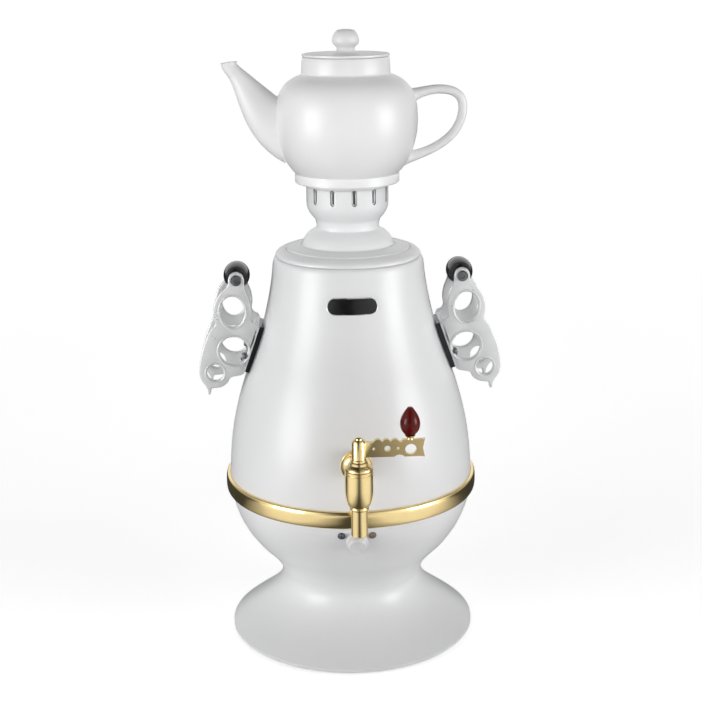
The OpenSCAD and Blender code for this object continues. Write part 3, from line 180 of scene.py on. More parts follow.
soft_lamp("lamp_left", (-1.53, -0.95, 0.32), (0, 0, 0.22), (0.9, 1.1), 18.5)
soft_lamp("lamp_right", (1.59, -0.85, 0.32), (0, 0, 0.22), (0.8, 1.1), 17)
soft_lamp("lamp_high", (0, -1.15, 1.0), (0, 0, 0.4), (0.5, 0.2), 0.085, 15)
soft_lamp("lamp_low_left", (-1.1, -0.3, 0.15), (-0.05, 0, 0.12), (0.3, 0.3), 0.055, 20)
soft_lamp("lamp_low_right", (1.1, -0.5, 0.2), (0.03, -0.05, 0.18), (0.3, 0.3), 0.045, 14)
print("lamps:", len(bpy.data.lights))

# %% [markdown]
# ## A floor for the camera and a floor for the gold
#
# The floor is matt, so it takes the soft shadow that sets the samovar down. For the camera it also
# glows a little, more and more with the distance from the foot, until it is as white as the world.
# Mirror rays find it bright in front at both sides, but dark behind the foot and in a strip down the
# middle. That strip is the dark line along each polished edge.

# %% Floor
bpy.ops.mesh.primitive_plane_add(size=60, location=(0, 0, -0.0001))
floor = bpy.context.object
floor.name = "floor"
floor_paint = bpy.data.materials.new("floor_paint")
floor_paint.use_nodes = True
ft = floor_paint.node_tree
ft.nodes.clear()


def joined_by(operation, first, second):
    """A math node of the floor's material on two sockets."""
    node = ft.nodes.new("ShaderNodeMath")
    node.operation = operation
    ft.links.new(first, node.inputs[0])
    ft.links.new(second, node.inputs[1])
    return node.outputs[0]


def ranged(value, low, high, start, stop):
    """A level that runs from start to stop while the value runs from low to high."""
    node = ft.nodes.new("ShaderNodeMapRange")
    for socket, number in (("From Min", low), ("From Max", high), ("To Min", start), ("To Max", stop)):
        node.inputs[socket].default_value = number
    ft.links.new(value, node.inputs["Value"])
    return node.outputs["Result"]


seen = ft.nodes.new("ShaderNodeLightPath").outputs
spot = ft.nodes.new("ShaderNodeTexCoord")
apart = ft.nodes.new("ShaderNodeSeparateXYZ")
ft.links.new(spot.outputs["Object"], apart.inputs[0])
away = ft.nodes.new("ShaderNodeVectorMath")
away.operation = "LENGTH"
ft.links.new(spot.outputs["Object"], away.inputs[0])
aside = ft.nodes.new("ShaderNodeMath")
aside.operation = "ABSOLUTE"
ft.links.new(ranged(apart.outputs["X"], -1.02, 0.98, -1, 1), aside.inputs[0])
bright_part = joined_by("MULTIPLY", ranged(apart.outputs["Y"], -0.15, 0.1, 1, 0),
                        ranged(aside.outputs[0], 0.04, 0.22, 0, 1))
seen_ray = joined_by("ADD", seen["Is Camera Ray"], seen["Is Transmission Ray"])
mirror_ray = seen["Is Glossy Ray"]
dark_part = joined_by("MULTIPLY", mirror_ray, ranged(bright_part, 0, 1, 1, 0))
for_camera = joined_by("MULTIPLY", seen_ray, ranged(away.outputs["Value"], 0.35, 2.0, 0.67, 0.86))
for_mirror = joined_by("MULTIPLY", mirror_ray, ranged(bright_part, 0, 1, 0, 0.6))
glow = ft.nodes.new("ShaderNodeEmission")
ft.links.new(joined_by("ADD", for_camera, for_mirror), glow.inputs["Strength"])
matt = ft.nodes.new("ShaderNodeBsdfDiffuse")
ft.links.new(ranged(dark_part, 0, 1, 0.85, 0.15), matt.inputs["Color"])
both = ft.nodes.new("ShaderNodeAddShader")
end = ft.nodes.new("ShaderNodeOutputMaterial")
ft.links.new(matt.outputs[0], both.inputs[0])
ft.links.new(glow.outputs[0], both.inputs[1])
ft.links.new(both.outputs[0], end.inputs["Surface"])
floor.data.materials.append(floor_paint)

# %% [markdown]
# ## A kit for turned shapes
#
# Most of a samovar is spun or turned on a lathe, so most pieces come from one idea: a profile in
# the (radius, height) plane is carried round an axis. The grid of points is worked out in one go
# with numpy, and the faces are the little squares between neighbours.

# %% Profiles
def curve(a, b, c, d, steps=20):
    """Cubic Bezier: (1-t)^3 a + 3(1-t)^2 t b + 3(1-t) t^2 c + t^3 d, for t from 0 to 1."""
    t = np.linspace(0, 1, steps + 1)[:, None]
    s = 1 - t
    a, b, c, d = (np.array(p, float) for p in (a, b, c, d))
    return s**3 * a + 3 * s * s * t * b + 3 * s * t * t * c + t**3 * d


def path(*parts):
    """One list of points from several pieces of curve and loose points, without repeats."""
    rows = np.vstack([np.atleast_2d(np.array(part, float)) for part in parts])
    keep = np.r_[True, np.linalg.norm(np.diff(rows, axis=0), axis=1) > 1e-4]
    return rows[keep]


def inset(points, wall):
    """The path moved sideways by the wall, to the left of its run: p + wall * (-dz, dr) / |run|."""
    run = np.gradient(points, axis=0)
    side = np.stack([-run[:, 1], run[:, 0]], axis=1)
    return points + wall * side / np.linalg.norm(side, axis=1)[:, None]


def eased(points, size, steps=3):
    """Each corner c of a closed outline becomes a quadratic Bezier from c - r to c + r."""
    points = np.array(points, float)
    before, after = np.roll(points, 1, axis=0) - points, np.roll(points, -1, axis=0) - points
    reach = [np.linalg.norm(v, axis=1)[:, None] for v in (before, after)]
    cut = np.minimum(size, 0.45 * np.minimum(*reach))
    start, end = points + before / reach[0] * cut, points + after / reach[1] * cut
    t = np.linspace(0, 1, steps + 1)[None, :, None]
    arc = (1 - t) ** 2 * start[:, None] + 2 * t * (1 - t) * points[:, None] + t * t * end[:, None]
    return arc.reshape(-1, 2)


# %% Grids to meshes
def mesh_piece(name, grid, ring_rows=False, ring_columns=True, holes=None, sharp=35):
    """A mesh of the quads between neighbours of grid[i, j], turned so that its volume is positive.

    The grid is in millimetres. Rows close on themselves with ring_rows, columns with ring_columns,
    and the cells marked in holes are left out.
    """
    rows, columns = grid.shape[:2]
    index = np.arange(rows * columns).reshape(rows, columns)
    if ring_rows:
        index = np.vstack([index, index[:1]])
    if ring_columns:
        index = np.hstack([index, index[:, :1]])
    quads = np.stack([index[:-1, :-1], index[:-1, 1:], index[1:, 1:], index[1:, :-1]], axis=-1)
    if holes is not None:
        quads = quads[~holes]
    quads = quads.reshape(-1, 4)
    points = grid.reshape(-1, 3) / 1000
    middle = points[quads].mean(axis=1)
    corners = points[quads]
    normal = np.cross(corners[:, 2] - corners[:, 0], corners[:, 3] - corners[:, 1])
    if (middle * normal).sum() < 0:
        quads = quads[:, ::-1]
    mesh = bpy.data.meshes.new(name)
    mesh.from_pydata(points.tolist(), [], quads.tolist())
    work = bmesh.new()
    work.from_mesh(mesh)
    bmesh.ops.remove_doubles(work, verts=work.verts, dist=1e-6)
    bmesh.ops.dissolve_degenerate(work, edges=work.edges, dist=1e-7)
    work.to_mesh(mesh)
    work.free()
    mesh.shade_smooth()
    mesh.set_sharp_from_angle(angle=math.radians(sharp))
    piece = bpy.data.objects.new(name, mesh)
    bpy.context.scene.collection.objects.link(piece)
    return piece


def turned_grid(profile, steps=160):
    """(r cos a, r sin a, z) for each (r, z) of the profile and each angle a of a full turn."""
    angle = np.linspace(0, 2 * np.pi, steps, endpoint=False)
    r, z = profile[:, :1], profile[:, 1:]
    return np.stack([r * np.cos(angle), r * np.sin(angle), z + 0 * angle], axis=-1)


def turned(name, profile, steps=160, closed=True, sharp=35):
    """A turned piece about the samovar's own axis."""
    return mesh_piece(name, turned_grid(np.array(profile, float), steps), ring_rows=closed, sharp=sharp)


def placed(grid, origin, out):
    """The grid moved so that its own Z axis lies along out and its origin at origin."""
    aim = Vector(out).to_track_quat("Z", "Y").to_matrix()
    return grid @ np.array(aim).T + np.array(origin, float)


def joined(name, *parts):
    """One object from several, so that a piece of many surfaces moves as one."""
    bpy.ops.object.select_all(action="DESELECT")
    for part in parts:
        part.select_set(True)
    bpy.context.view_layer.objects.active = parts[0]
    bpy.ops.object.join()
    parts[0].name = name
    parts[0].data.name = name
    return parts[0]


def swept(name, spine, half_wide, half_high, across=(0, 1, 0), sides=24, closed=False, power=2.0):
    """A tube along a spine: p + w*c(a)*Y + h*s(a)*N, where N stands square to the run and to Y.

    c and s are cosine and sine raised to 2 / power, so a power above 2 gives a boxier section.
    """
    spine = np.array(spine, float)
    if closed:
        run = np.roll(spine, -1, axis=0) - np.roll(spine, 1, axis=0)
    else:
        run = np.gradient(spine, axis=0)
    run /= np.linalg.norm(run, axis=1)[:, None]
    across = np.array(across, float)
    up = np.cross(run, across)
    up /= np.linalg.norm(up, axis=1)[:, None]
    angle = np.linspace(0, 2 * np.pi, sides, endpoint=False)
    c = np.sign(np.cos(angle)) * np.abs(np.cos(angle)) ** (2 / power)
    s = np.sign(np.sin(angle)) * np.abs(np.sin(angle)) ** (2 / power)
    wide = np.broadcast_to(half_wide, len(spine))[:, None, None]
    high = np.broadcast_to(half_high, len(spine))[:, None, None]
    grid = (spine[:, None] + wide * c[None, :, None] * across + high * s[None, :, None] * up[:, None])
    if not closed:
        grid = np.concatenate([grid[:1] * 0 + spine[:1, None], grid, grid[-1:] * 0 + spine[-1:, None]])
    return mesh_piece(name, grid, ring_rows=closed)


# %% [markdown]
# ## Finishes from nodes
#
# Real finishes are never one flat colour. Each recipe here starts from a Principled shader and adds
# three small things at the scale of the real surface: a drift in colour, a drift in roughness, and
# a faint bump. All of them read Object coordinates, so they stay put when a piece moves.

# %% Finish recipe
def finish(name, colour, rough, metal=0.0, grain=60.0, drift=0.04, rough_drift=0.06, bump=0.02,
           stretch=(1, 1, 1), **sockets):
    """A Principled finish with noise in its colour, its roughness and its bump."""
    made = bpy.data.materials.new(name)
    made.use_nodes = True
    tree = made.node_tree
    shader = tree.nodes["Principled BSDF"]
    shader.inputs["Metallic"].default_value = metal
    for key, value in sockets.items():
        shader.inputs[key.replace("_", " ")].default_value = value
    place = tree.nodes.new("ShaderNodeTexCoord")
    scale = tree.nodes.new("ShaderNodeMapping")
    scale.inputs["Scale"].default_value = stretch
    noise = tree.nodes.new("ShaderNodeTexNoise")
    noise.inputs["Scale"].default_value = grain
    noise.inputs["Detail"].default_value = 6
    tint = tree.nodes.new("ShaderNodeValToRGB")
    low, high = tint.color_ramp.elements
    low.position, high.position = 0.3, 0.7
    low.color = (*[min(1, c * (1 - drift)) for c in colour], 1)
    high.color = (*[min(1, c * (1 + drift)) for c in colour], 1)
    span = tree.nodes.new("ShaderNodeMapRange")
    span.inputs["From Min"].default_value = 0.3
    span.inputs["From Max"].default_value = 0.7
    span.inputs["To Min"].default_value = max(0.02, rough - rough_drift)
    span.inputs["To Max"].default_value = rough + rough_drift
    relief = tree.nodes.new("ShaderNodeBump")
    relief.inputs["Strength"].default_value = bump
    relief.inputs["Distance"].default_value = 0.0004
    tree.links.new(place.outputs["Object"], scale.inputs["Vector"])
    tree.links.new(scale.outputs["Vector"], noise.inputs["Vector"])
    tree.links.new(noise.outputs["Fac"], tint.inputs["Fac"])
    tree.links.new(noise.outputs["Fac"], span.inputs["Value"])
    tree.links.new(noise.outputs["Fac"], relief.inputs["Height"])
    tree.links.new(tint.outputs["Color"], shader.inputs["Base Color"])
    tree.links.new(span.outputs["Result"], shader.inputs["Roughness"])
    tree.links.new(relief.outputs["Normal"], shader.inputs["Normal"])
    return made


# %% Painted shade in recesses
def painted_recess_shade(made, reach, shade):
    """Darkens a finish where its own walls are nearer than reach metres: a painted shade in its
    recesses.
    """
    tree = made.node_tree
    base = tree.nodes["Principled BSDF"].inputs["Base Color"]
    unshaded_colour = base.links[0].from_socket
    openness = tree.nodes.new("ShaderNodeAmbientOcclusion")
    openness.only_local = True
    openness.inputs["Distance"].default_value = reach
    strength = tree.nodes.new("ShaderNodeMapRange")
    strength.inputs["From Min"].default_value = 0.5
    strength.inputs["From Max"].default_value = 0.93
    strength.inputs["To Min"].default_value = shade
    strength.inputs["To Max"].default_value = 1
    dimmed = tree.nodes.new("ShaderNodeVectorMath")
    dimmed.operation = "SCALE"
    tree.links.new(openness.outputs["AO"], strength.inputs["Value"])
    tree.links.new(unshaded_colour, dimmed.inputs[0])
    tree.links.new(strength.outputs["Result"], dimmed.inputs["Scale"])
    tree.links.new(dimmed.outputs[0], base)
    return made


# %% [markdown]
# The vessel wears a pearl enamel: a soft white with a clear, glossy coat. The teapot is glazed
# porcelain, whiter and smoother. The tap and the belt are polished gold plate, and the handles are
# castings that were polished by hand. What hides inside gets plain workshop finishes.

# %% All finishes
finishes = {
    "pearl_shell": finish("pearl_enamel", (0.78, 0.783, 0.79), 0.42, grain=26, drift=0.006,
                          rough_drift=0.01, bump=0.006, Coat_Weight=0.55, Coat_Roughness=0.26),
    "crown_metal": finish("crown_enamel", (0.77, 0.775, 0.78), 0.4, grain=26, drift=0.01,
                          rough_drift=0.02, bump=0.01, Coat_Weight=0.6, Coat_Roughness=0.2),
    "porcelain": finish("porcelain_glaze", (0.82, 0.82, 0.82), 0.38, grain=18, drift=0.008,
                        rough_drift=0.02, bump=0.008, Coat_Weight=0.38, Coat_Roughness=0.25),
    "gold_plate": finish("gold_plate", (0.88, 0.69, 0.34), 0.17, metal=1.0, grain=45, drift=0.04,
                         bump=0.02),
    "plain_brass": finish("plain_brass", (0.66, 0.50, 0.24), 0.32, metal=1.0, grain=120, drift=0.12),
    "cast_alloy": finish("polished_casting", (0.74, 0.745, 0.75), 0.32, metal=0.35, grain=60, drift=0.05,
                         bump=0.06),
    "cap_metal": finish("cap_metal", (0.16, 0.163, 0.168), 0.25, metal=0.8, grain=90, drift=0.1),
    "black_plastic": finish("black_plastic", (0.006, 0.006, 0.0065), 0.2, grain=150, drift=0.25,
                            bump=0.05, Specular_IOR_Level=0.35, Coat_Weight=0.15, Coat_Roughness=0.1),
    "ruby": finish("ruby_acrylic", (0.11, 0.004, 0.003), 0.16, grain=70, drift=0.5, bump=0.0,
                   Specular_IOR_Level=0.22),
    "lamp_lens": finish("lamp_lens", (0.06, 0.07, 0.09), 0.2, grain=90, drift=0.05, Coat_Weight=0.5),
    "lamp_lens_warm": finish("warm_lens", (0.17, 0.12, 0.08), 0.2, grain=90, drift=0.05,
                             Coat_Weight=0.5),
    "dial_plastic": finish("dial_plastic", (0.72, 0.72, 0.73), 0.28, grain=90, drift=0.02,
                           Coat_Weight=0.3),
    "steel_sheet": finish("satin_steel", (0.56, 0.57, 0.58), 0.34, metal=1.0, grain=40, drift=0.08,
                          stretch=(1, 1, 18), bump=0.05),
    "steel_hardware": finish("plated_steel", (0.62, 0.63, 0.64), 0.26, metal=1.0, grain=160, drift=0.08),
    "element_steel": finish("element_tube", (0.40, 0.39, 0.37), 0.42, metal=1.0, grain=70, drift=0.25,
                            bump=0.2),
    "rubber_black": finish("black_rubber", (0.022, 0.022, 0.023), 0.7, grain=240, drift=0.3, bump=0.2),
    "silicone": finish("grey_silicone", (0.50, 0.48, 0.45), 0.55, grain=160, drift=0.08, bump=0.08),
    "cream_plastic": finish("cream_plastic", (0.66, 0.61, 0.50), 0.5, grain=140, drift=0.06, bump=0.08),
    "cutout_body": finish("cutout_body", (0.05, 0.05, 0.055), 0.5, grain=140, drift=0.15, bump=0.1),
    "wire_live": finish("brown_wire", (0.15, 0.06, 0.025), 0.42, grain=200, drift=0.12),
    "wire_neutral": finish("blue_wire", (0.03, 0.09, 0.30), 0.42, grain=200, drift=0.12),
    "wire_earth": finish("green_wire", (0.10, 0.26, 0.03), 0.42, grain=200, drift=0.12),
}
# The crown's slots and hollows get a painted shade: the colour darkens where its own walls stand close.
painted_recess_shade(finishes["crown_metal"], 0.004, 0.3)
slot_of = {row["node"]: row["material_slot"] for row in frame["record"]["subparts"]}
for node, solid in frame["nodes"].items():
    solid.data.materials.clear()
    solid.data.materials.append(finishes[slot_of[node]])
print("finishes:", len(finishes))


def dress(piece, node, body, stands_for=()):
    """Gives a new piece the finish and the body of a solid, and lets it stand for that solid."""
    piece.data.materials.clear()
    piece.data.materials.append(finishes[slot_of[node]])
    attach(piece, body)
    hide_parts(node, *stands_for)
    print(piece.name, "faces:", len(piece.data.polygons))
    return piece


# %% [markdown]
# ## Foot, belt, vessel and lid
#
# The body is spun from sheet, and the belt hides the seam of bowl and vessel. A spun shell is a
# curve with a wall, so each profile runs up the outside and back down the inside. The section of the
# belt is a superellipse, |x/a|^3 + |y/b|^3 = 1, which is boxier than an ellipse and still round.

# %% Foot
foot_flare = curve((103, 6), (88, 19), (59.5, 34.1), (59.5, 52), 40)
foot_inside = inset(foot_flare, 1)[::-1]
foot = turned("foot", path(
    (91, 3), (102.3, 3), (103, 3.7), foot_flare, (14, 52), (14, 51), foot_inside[foot_inside[:, 1] < 51],
    (102, 4), (91, 4)), 192)
dress(foot, "foot_shell", "root")

# %% Vessel
vessel_wall = path(
    curve((101.3, 136), (101.3, 180), (92.74, 209.57), (79, 245), 44),
    curve((79, 245), (71.04, 265.5), (63.6, 294), (61.8, 316), 28))
vessel_shoulder = curve((61.8, 316), (61.3, 321), (60.5, 325), (57.5, 325), 12)
vessel_inside = inset(vessel_wall, 1)[::-1]
vessel = turned("vessel", path(
    (101.5, 135.1), (103, 135.1), (103, 135.9), (101.4, 135.9), vessel_wall, vessel_shoulder,
    (56.4, 325), (56, 324.6), (56, 318), (57, 318), (57, 324), (58.2, 324), vessel_inside,
    (100.3, 135.1)), 192)
dress(vessel, "vessel_shell", "root")

# %% Belt
angle = np.radians(np.linspace(-90, 90, 33))
flat = np.stack([np.cos(angle), np.sin(angle)], axis=1)
belt_face = (102.4, 135) + (2.6, 7) * np.sign(flat) * np.abs(flat) ** (2 / 3)
belt = turned("belt", path(belt_face, (101.6, 142), (101.6, 136.2), (103.2, 136.2), (103.2, 133.8),
                           (101.6, 133.8), (101.6, 128)), 192)
dress(belt, "belt_ring", "root")

# %% Samovar lid
lid_top = path(
    curve((59, 326.5), (58.6, 328.9), (55, 330.9), (51, 331.7), 12), (50.2, 331.2), (49.5, 332.2),
    curve((49.4, 332.4), (45, 333.7), (42, 334.3), (38.5, 334.9), 8), (37.7, 334.4), (36.9, 335.7),
    curve((36.7, 336.3), (34.9, 341.3), (31.5, 345.3), (26.7, 346.9), 12),
    curve((25.5, 347.9), (25.2, 349.3), (25.2, 351.3), (25.5, 352.3), 8))
lid_under = inset(lid_top, 1)[::-1]
lid_under = lid_under[(lid_under[:, 0] < 54.5) & (lid_under[:, 1] < 351.2)]
samovar_lid = turned("samovar_lid_top", path(
    (55.7, 325.3), (58.6, 325.3), (59, 325.7), lid_top, (16.7, 352.3), (16.7, 351.3), lid_under,
    (54.7, 330), (54.7, 316), (55.7, 316)), 160)
dress(samovar_lid, "samovar_lid", "lid")

# %% [markdown]
# ## The teapot
#
# A thrown pot is turned, but its spout and its handle are made apart and joined on while the clay
# is damp. The spout is a tube whose half width is w(t) = 4.9 + 7.6 (1 - t^2)^1.7 + 3 (1 - t)^9 along
# its run. The last term is the clay smeared out at the root. The lip flares a little, and there the
# wall folds over and runs back down inside.

# %% Teapot
belly = path(
    curve((41.4, 392.2), (48, 398.6), (56.6, 413.6), (56.6, 433.6), 28),
    curve((56.6, 433.6), (56.6, 449.6), (53.6, 463.5), (36.4, 469.1), 28))
belly_inside = inset(belly, 3.4)[::-1]
belly_inside = belly_inside[(belly_inside[:, 1] > 396) & (belly_inside[:, 0] > 28.6)]
pot_body = turned("pot_body", path(
    (0, 386.6), (34.8, 386.6), (34.8, 385.2), (35.4, 384.6), (41, 384.6), (41.8, 385.4), (41.8, 390.8),
    (41.4, 391.5), belly, curve((36.4, 469.1), (35.4, 469.6), (35.1, 470), (35.1, 471.4), 4),
    (34.6, 481.6), (34.2, 482.5), (33.6, 482.8), (31.6, 482.8), (30.9, 482.2), (30.9, 474.8),
    (28.9, 474.8), (28.5, 474.4), (28.5, 467.4), belly_inside, (33.8, 390), (0, 390)), 176, closed=False)
t = np.linspace(0, 1, 48)
spout_curve = path(curve((-43, 423.6), (-61, 427.5), (-75, 457), (-86, 470.3), 160),
                   curve((-86, 470.3), (-89.2, 474.1), (-91.3, 475.8), (-91.5, 479.6), 60))
along = np.r_[0, np.cumsum(np.linalg.norm(np.diff(spout_curve, axis=0), axis=1))]
along /= along[-1]
spine = np.stack([np.interp(t, along, column) for column in (spout_curve[:, 0], spout_curve[:, 1])], 1)
spine = np.insert(spine, 1, 0, axis=1)
narrowing = (1 - t**2) ** 1.7
lip = 1.5 * np.clip((t - 0.86) / 0.14, 0, 1) ** 1.5
root = (1 - t) ** 9
spout_high = 5.0 + 15.0 * narrowing + lip + 4.5 * root
spout_wide = 4.9 + 7.6 * narrowing + lip + 3.0 * root


def folded_tube(name, spine, wide, high, wall, back, sides=40):
    """A tube with a wall: rings p + w cos a Y + h sin a N out to the lip, and thinner rings back."""
    run = np.gradient(spine, axis=0)
    run /= np.linalg.norm(run, axis=1)[:, None]
    across = np.array((0, 1.0, 0))
    up = np.cross(run, across)
    a = np.linspace(0, 2 * np.pi, sides, endpoint=False)
    rings = []
    for less, order in ((0, slice(None)), (wall, slice(None, None, -1))):
        w, h = (wide - less)[order, None, None], (high - less)[order, None, None]
        ring = (spine[order, None] + w * np.cos(a)[None, :, None] * across
                + h * np.sin(a)[None, :, None] * up[order, None])
        rings.append(ring if less == 0 else ring[:back])
    end = rings[1][-1:].mean(axis=1, keepdims=True) + 0 * rings[1][-1:]
    start = rings[0][:1].mean(axis=1, keepdims=True) + 0 * rings[0][:1]
    return mesh_piece(name, np.concatenate([start, rings[0], rings[1], end]), sharp=50)


spout = folded_tube("pot_spout", spine, spout_wide, spout_high, 2.1, 28)
ear_line = path(
    curve((49.5, 451), (68, 459), (92.5, 460), (92.5, 442.6), 30),
    curve((92.5, 442.6), (92.5, 420), (70, 407), (44, 402.5), 34))
ear_spine = np.stack([ear_line[:, 0], 0 * ear_line[:, 0], ear_line[:, 1]], axis=1)
span = np.linspace(-1, 1, len(ear_spine))
ear = swept("pot_ear", ear_spine, 4.0 + 3.2 * np.abs(span) ** 9, 3.6 + 3.0 * np.abs(span) ** 9, sides=28)
teapot = joined("teapot_body", pot_body, spout, ear)
dress(teapot, "teapot", "pot")

# %% Teapot lid
pot_lid = turned("teapot_cover", path(
    (0, 482.1), (27.6, 482.1), (27.6, 478.4), (28, 478.1), (30.1, 478.1), (30.6, 478.6), (30.6, 483.1),
    (33.8, 483.1), (34.4, 483.7), (34.4, 484.9),
    curve((34.4, 484.9), (34.4, 485.7), (22, 485.9), (10.9, 486.1), 8),
    curve((10.9, 486.1), (8.2, 486.3), (7.3, 487.4), (7, 488.8), 5),
    curve((7, 488.8), (7, 490.8), (10.7, 491.4), (10.7, 495), 8),
    curve((10.7, 495), (10.7, 498.6), (9, 500.8), (7.3, 502.6), 8),
    curve((7.3, 502.6), (6.4, 503.6), (3, 503.7), (0, 503.7), 5)), 96, closed=False)
dress(pot_lid, "teapot_lid", "pot_lid")

# %% [markdown]
# ## The tap
#
# The barrel of the tap is turned brass, plated after polishing, so it gets small beads and a soft
# taper that catch the light. Its shank is turned about a second axis, along Y, and is the same kind
# of grid laid over.

# %% Tap body
tap_axis = np.array((0, -140.0, 0))
barrel = path(
    (4.2, 138.9), (4.6, 138.5), (5.7, 138.5), (6.3, 139.1), (6.3, 159.4),
    curve((6.3, 159.4), (7.6, 159.6), (7.6, 161.6), (6.8, 162), 8),
    curve((6.8, 162), (8.7, 163), (10.75, 167.3), (10.75, 177), 16), (10.75, 188.2), (10.3, 188.6),
    (10.3, 189.2), (10.75, 189.6), (10.75, 190.6), (10.4, 191), (8.8, 191), (8.8, 186), (6.5, 171),
    (4.2, 169.5))
barrel_piece = mesh_piece("tap_barrel", turned_grid(barrel, 72) + tap_axis, ring_rows=True)
shank = path(
    (3.5, -133.4), (6, -133.4), (6, -107.8),
    curve((6, -107.8), (6.2, -104), (9, -103.4), (9.8, -102.9), 8),
    (12, -102.9), (12.5, -102.4), (12.5, -100.9), (12, -100.4), (6, -100.4), (6, -86), (3.5, -86))
shank_grid = placed(turned_grid(shank, 64), (0, 0, 180), (0, 1, 0))
shank_piece = mesh_piece("tap_shank", shank_grid, ring_rows=True)
tap = joined("tap_casting", barrel_piece, shank_piece)
dress(tap, "tap_body", "root")

# %% [markdown]
# ## Bonnet and red knob
#
# The bonnet holds the plug down in the barrel. Its hole is part of its profile, so the grid closes
# on itself in both directions. The knob is a drop of red acrylic on the lever's stud. A drop is a
# profile that starts and ends on its axis, where all the points of a ring fall together.

# %% Tap bonnet
bonnet = path(
    (3.05, 187.7), (8.75, 187.7), (8.75, 191.1), (10.1, 191.1), (10.5, 191.5), (10.5, 192.4),
    curve((10.5, 192.4), (10, 194), (8, 194.6), (6.9, 195.4), 8), (6.9, 197.1), (6.5, 197.5),
    (3.05, 197.5))
bonnet_piece = mesh_piece("tap_bonnet_ring", turned_grid(bonnet, 64) + tap_axis, ring_rows=True)
dress(bonnet_piece, "tap_bonnet", "root")

# %% Red knob
drop = path((1.55, 217.5), (3.4, 217.5), curve((3.4, 217.6), (5.8, 219.6), (7.5, 222), (7.5, 226.4), 14),
            curve((7.5, 226.4), (7.5, 231.6), (3.8, 236), (1.9, 238.7), 18), (0, 238.9))
stud_away = np.array((38, 0, 0))
drop_grid = turned_grid(path((0, 225.8), (1.55, 225.8), drop), 48) + tap_axis + stud_away
knob_piece = mesh_piece("red_drop", drop_grid)
dress(knob_piece, "lever_knob", "tap_handle")

# %% [markdown]
# ## Grips
#
# A grip swells in the middle, r(t) = 10.7 - 2.9 t^2, and has a fine groove near each end, where the
# tool marked the length before the blank was parted off.

# %% Barrel grips
t = np.linspace(-1, 1, 81)
groove = 0.5 * np.exp(-((np.abs(t) - 0.84) / 0.022) ** 2)
swell = np.stack([10.7 - 2.9 * t**2 - groove, 16.3 * t], axis=1)
grip_outline = path(
    (3.05, -16.3), (7.3, -16.3), (7.8, -15.9), swell[2:-2], (7.8, 15.9), (7.3, 16.3), (3.05, 16.3))
grip_x, grip_z = 90.87, 310
for side, node in ((-1, "left_grip"), (1, "right_grip")):
    grid = placed(turned_grid(grip_outline, 72), (side * grip_x, 0, grip_z), (0, 1, 0))
    dress(mesh_piece(node.replace("grip", "barrel"), grid, ring_rows=True), node, "root")

# %% [markdown]
# ## Castings from an outline
#
# The arms of the side handles are flat castings with pierced loops. Each is drawn as an outline
# with holes and thickened into a slab. The rim is not a sharp corner but a quarter circle: for the
# angle a from 0 to 90 degrees the outline moves inwards by e (1 - cos a) and up by e sin a.

# %% Slabs
def smooth_loop(points, steps=6):
    """A closed Catmull-Rom curve: each span is p1 + (t d0 + t^2 d1 + t^3 d2) / 2 of its neighbours."""
    p1 = np.array(points, float)
    p0, p2, p3 = np.roll(p1, 1, axis=0), np.roll(p1, -1, axis=0), np.roll(p1, -2, axis=0)
    t = np.linspace(0, 1, steps, endpoint=False)[None, :, None]
    spans = p1[:, None] + 0.5 * (t * (p2 - p0)[:, None] + t**2 * (2 * p0 - 5 * p1 + 4 * p2 - p3)[:, None]
                                 + t**3 * (3 * p1 - p0 - 3 * p2 + p3)[:, None])
    return spans.reshape(-1, 2)


def ring_of(centre, rx, ry, steps=72):
    """An ellipse run clockwise, as the holes of a slab are: c + (rx cos a, -ry sin a)."""
    a = np.linspace(0, 2 * np.pi, steps, endpoint=False)
    return np.array(centre) + np.stack([rx * np.cos(a), -ry * np.sin(a)], axis=1)


def slab(name, outlines, thick, ease, place, steps=4):
    """A plate between outlines, the first run anticlockwise and the holes clockwise, rims rounded.

    place is a 4 x 3 array: the slab's own X, Y and Z directions and its origin, in millimetres.
    """
    a = np.radians(np.linspace(0, 90, steps + 1))
    rows = np.concatenate([np.stack([1 - np.cos(a[::-1]), -np.sin(a[::-1])], 1),
                           np.stack([1 - np.cos(a), np.sin(a)], 1)])
    place = np.array(place, float)
    work = bmesh.new()
    caps = ([], [])
    for outline in outlines:
        run = np.roll(outline, -1, axis=0) - np.roll(outline, 1, axis=0)
        inward = np.stack([-run[:, 1], run[:, 0]], 1) / np.linalg.norm(run, axis=1)[:, None]
        flat = outline[None] + ease * rows[:, :1, None] * inward[None]
        high = np.sign(rows[:, 1]) * (thick / 2 - ease) + ease * rows[:, 1]
        high[len(a) - 1], high[len(a)] = -(thick / 2 - ease), thick / 2 - ease
        grid = flat @ place[:2] + high[:, None, None] * place[2] + place[3]
        verts = [[work.verts.new(point) for point in row] for row in (grid / 1000).tolist()]
        for low_row, high_row in zip(verts[:-1], verts[1:]):
            for k in range(len(low_row)):
                work.faces.new((low_row[k - 1], low_row[k], high_row[k], high_row[k - 1]))
        for cap, row in zip(caps, (verts[0], verts[-1])):
            cap.extend(work.edges.get((row[k - 1], row[k])) for k in range(len(row)))
    for cap in caps:
        bmesh.ops.triangle_fill(work, use_beauty=True, use_dissolve=False, edges=cap)
    bmesh.ops.recalc_face_normals(work, faces=work.faces)
    mesh = bpy.data.meshes.new(name)
    work.to_mesh(mesh)
    work.free()
    mesh.shade_smooth()
    mesh.set_sharp_from_angle(angle=math.radians(40))
    piece = bpy.data.objects.new(name, mesh)
    bpy.context.scene.collection.objects.link(piece)
    return piece


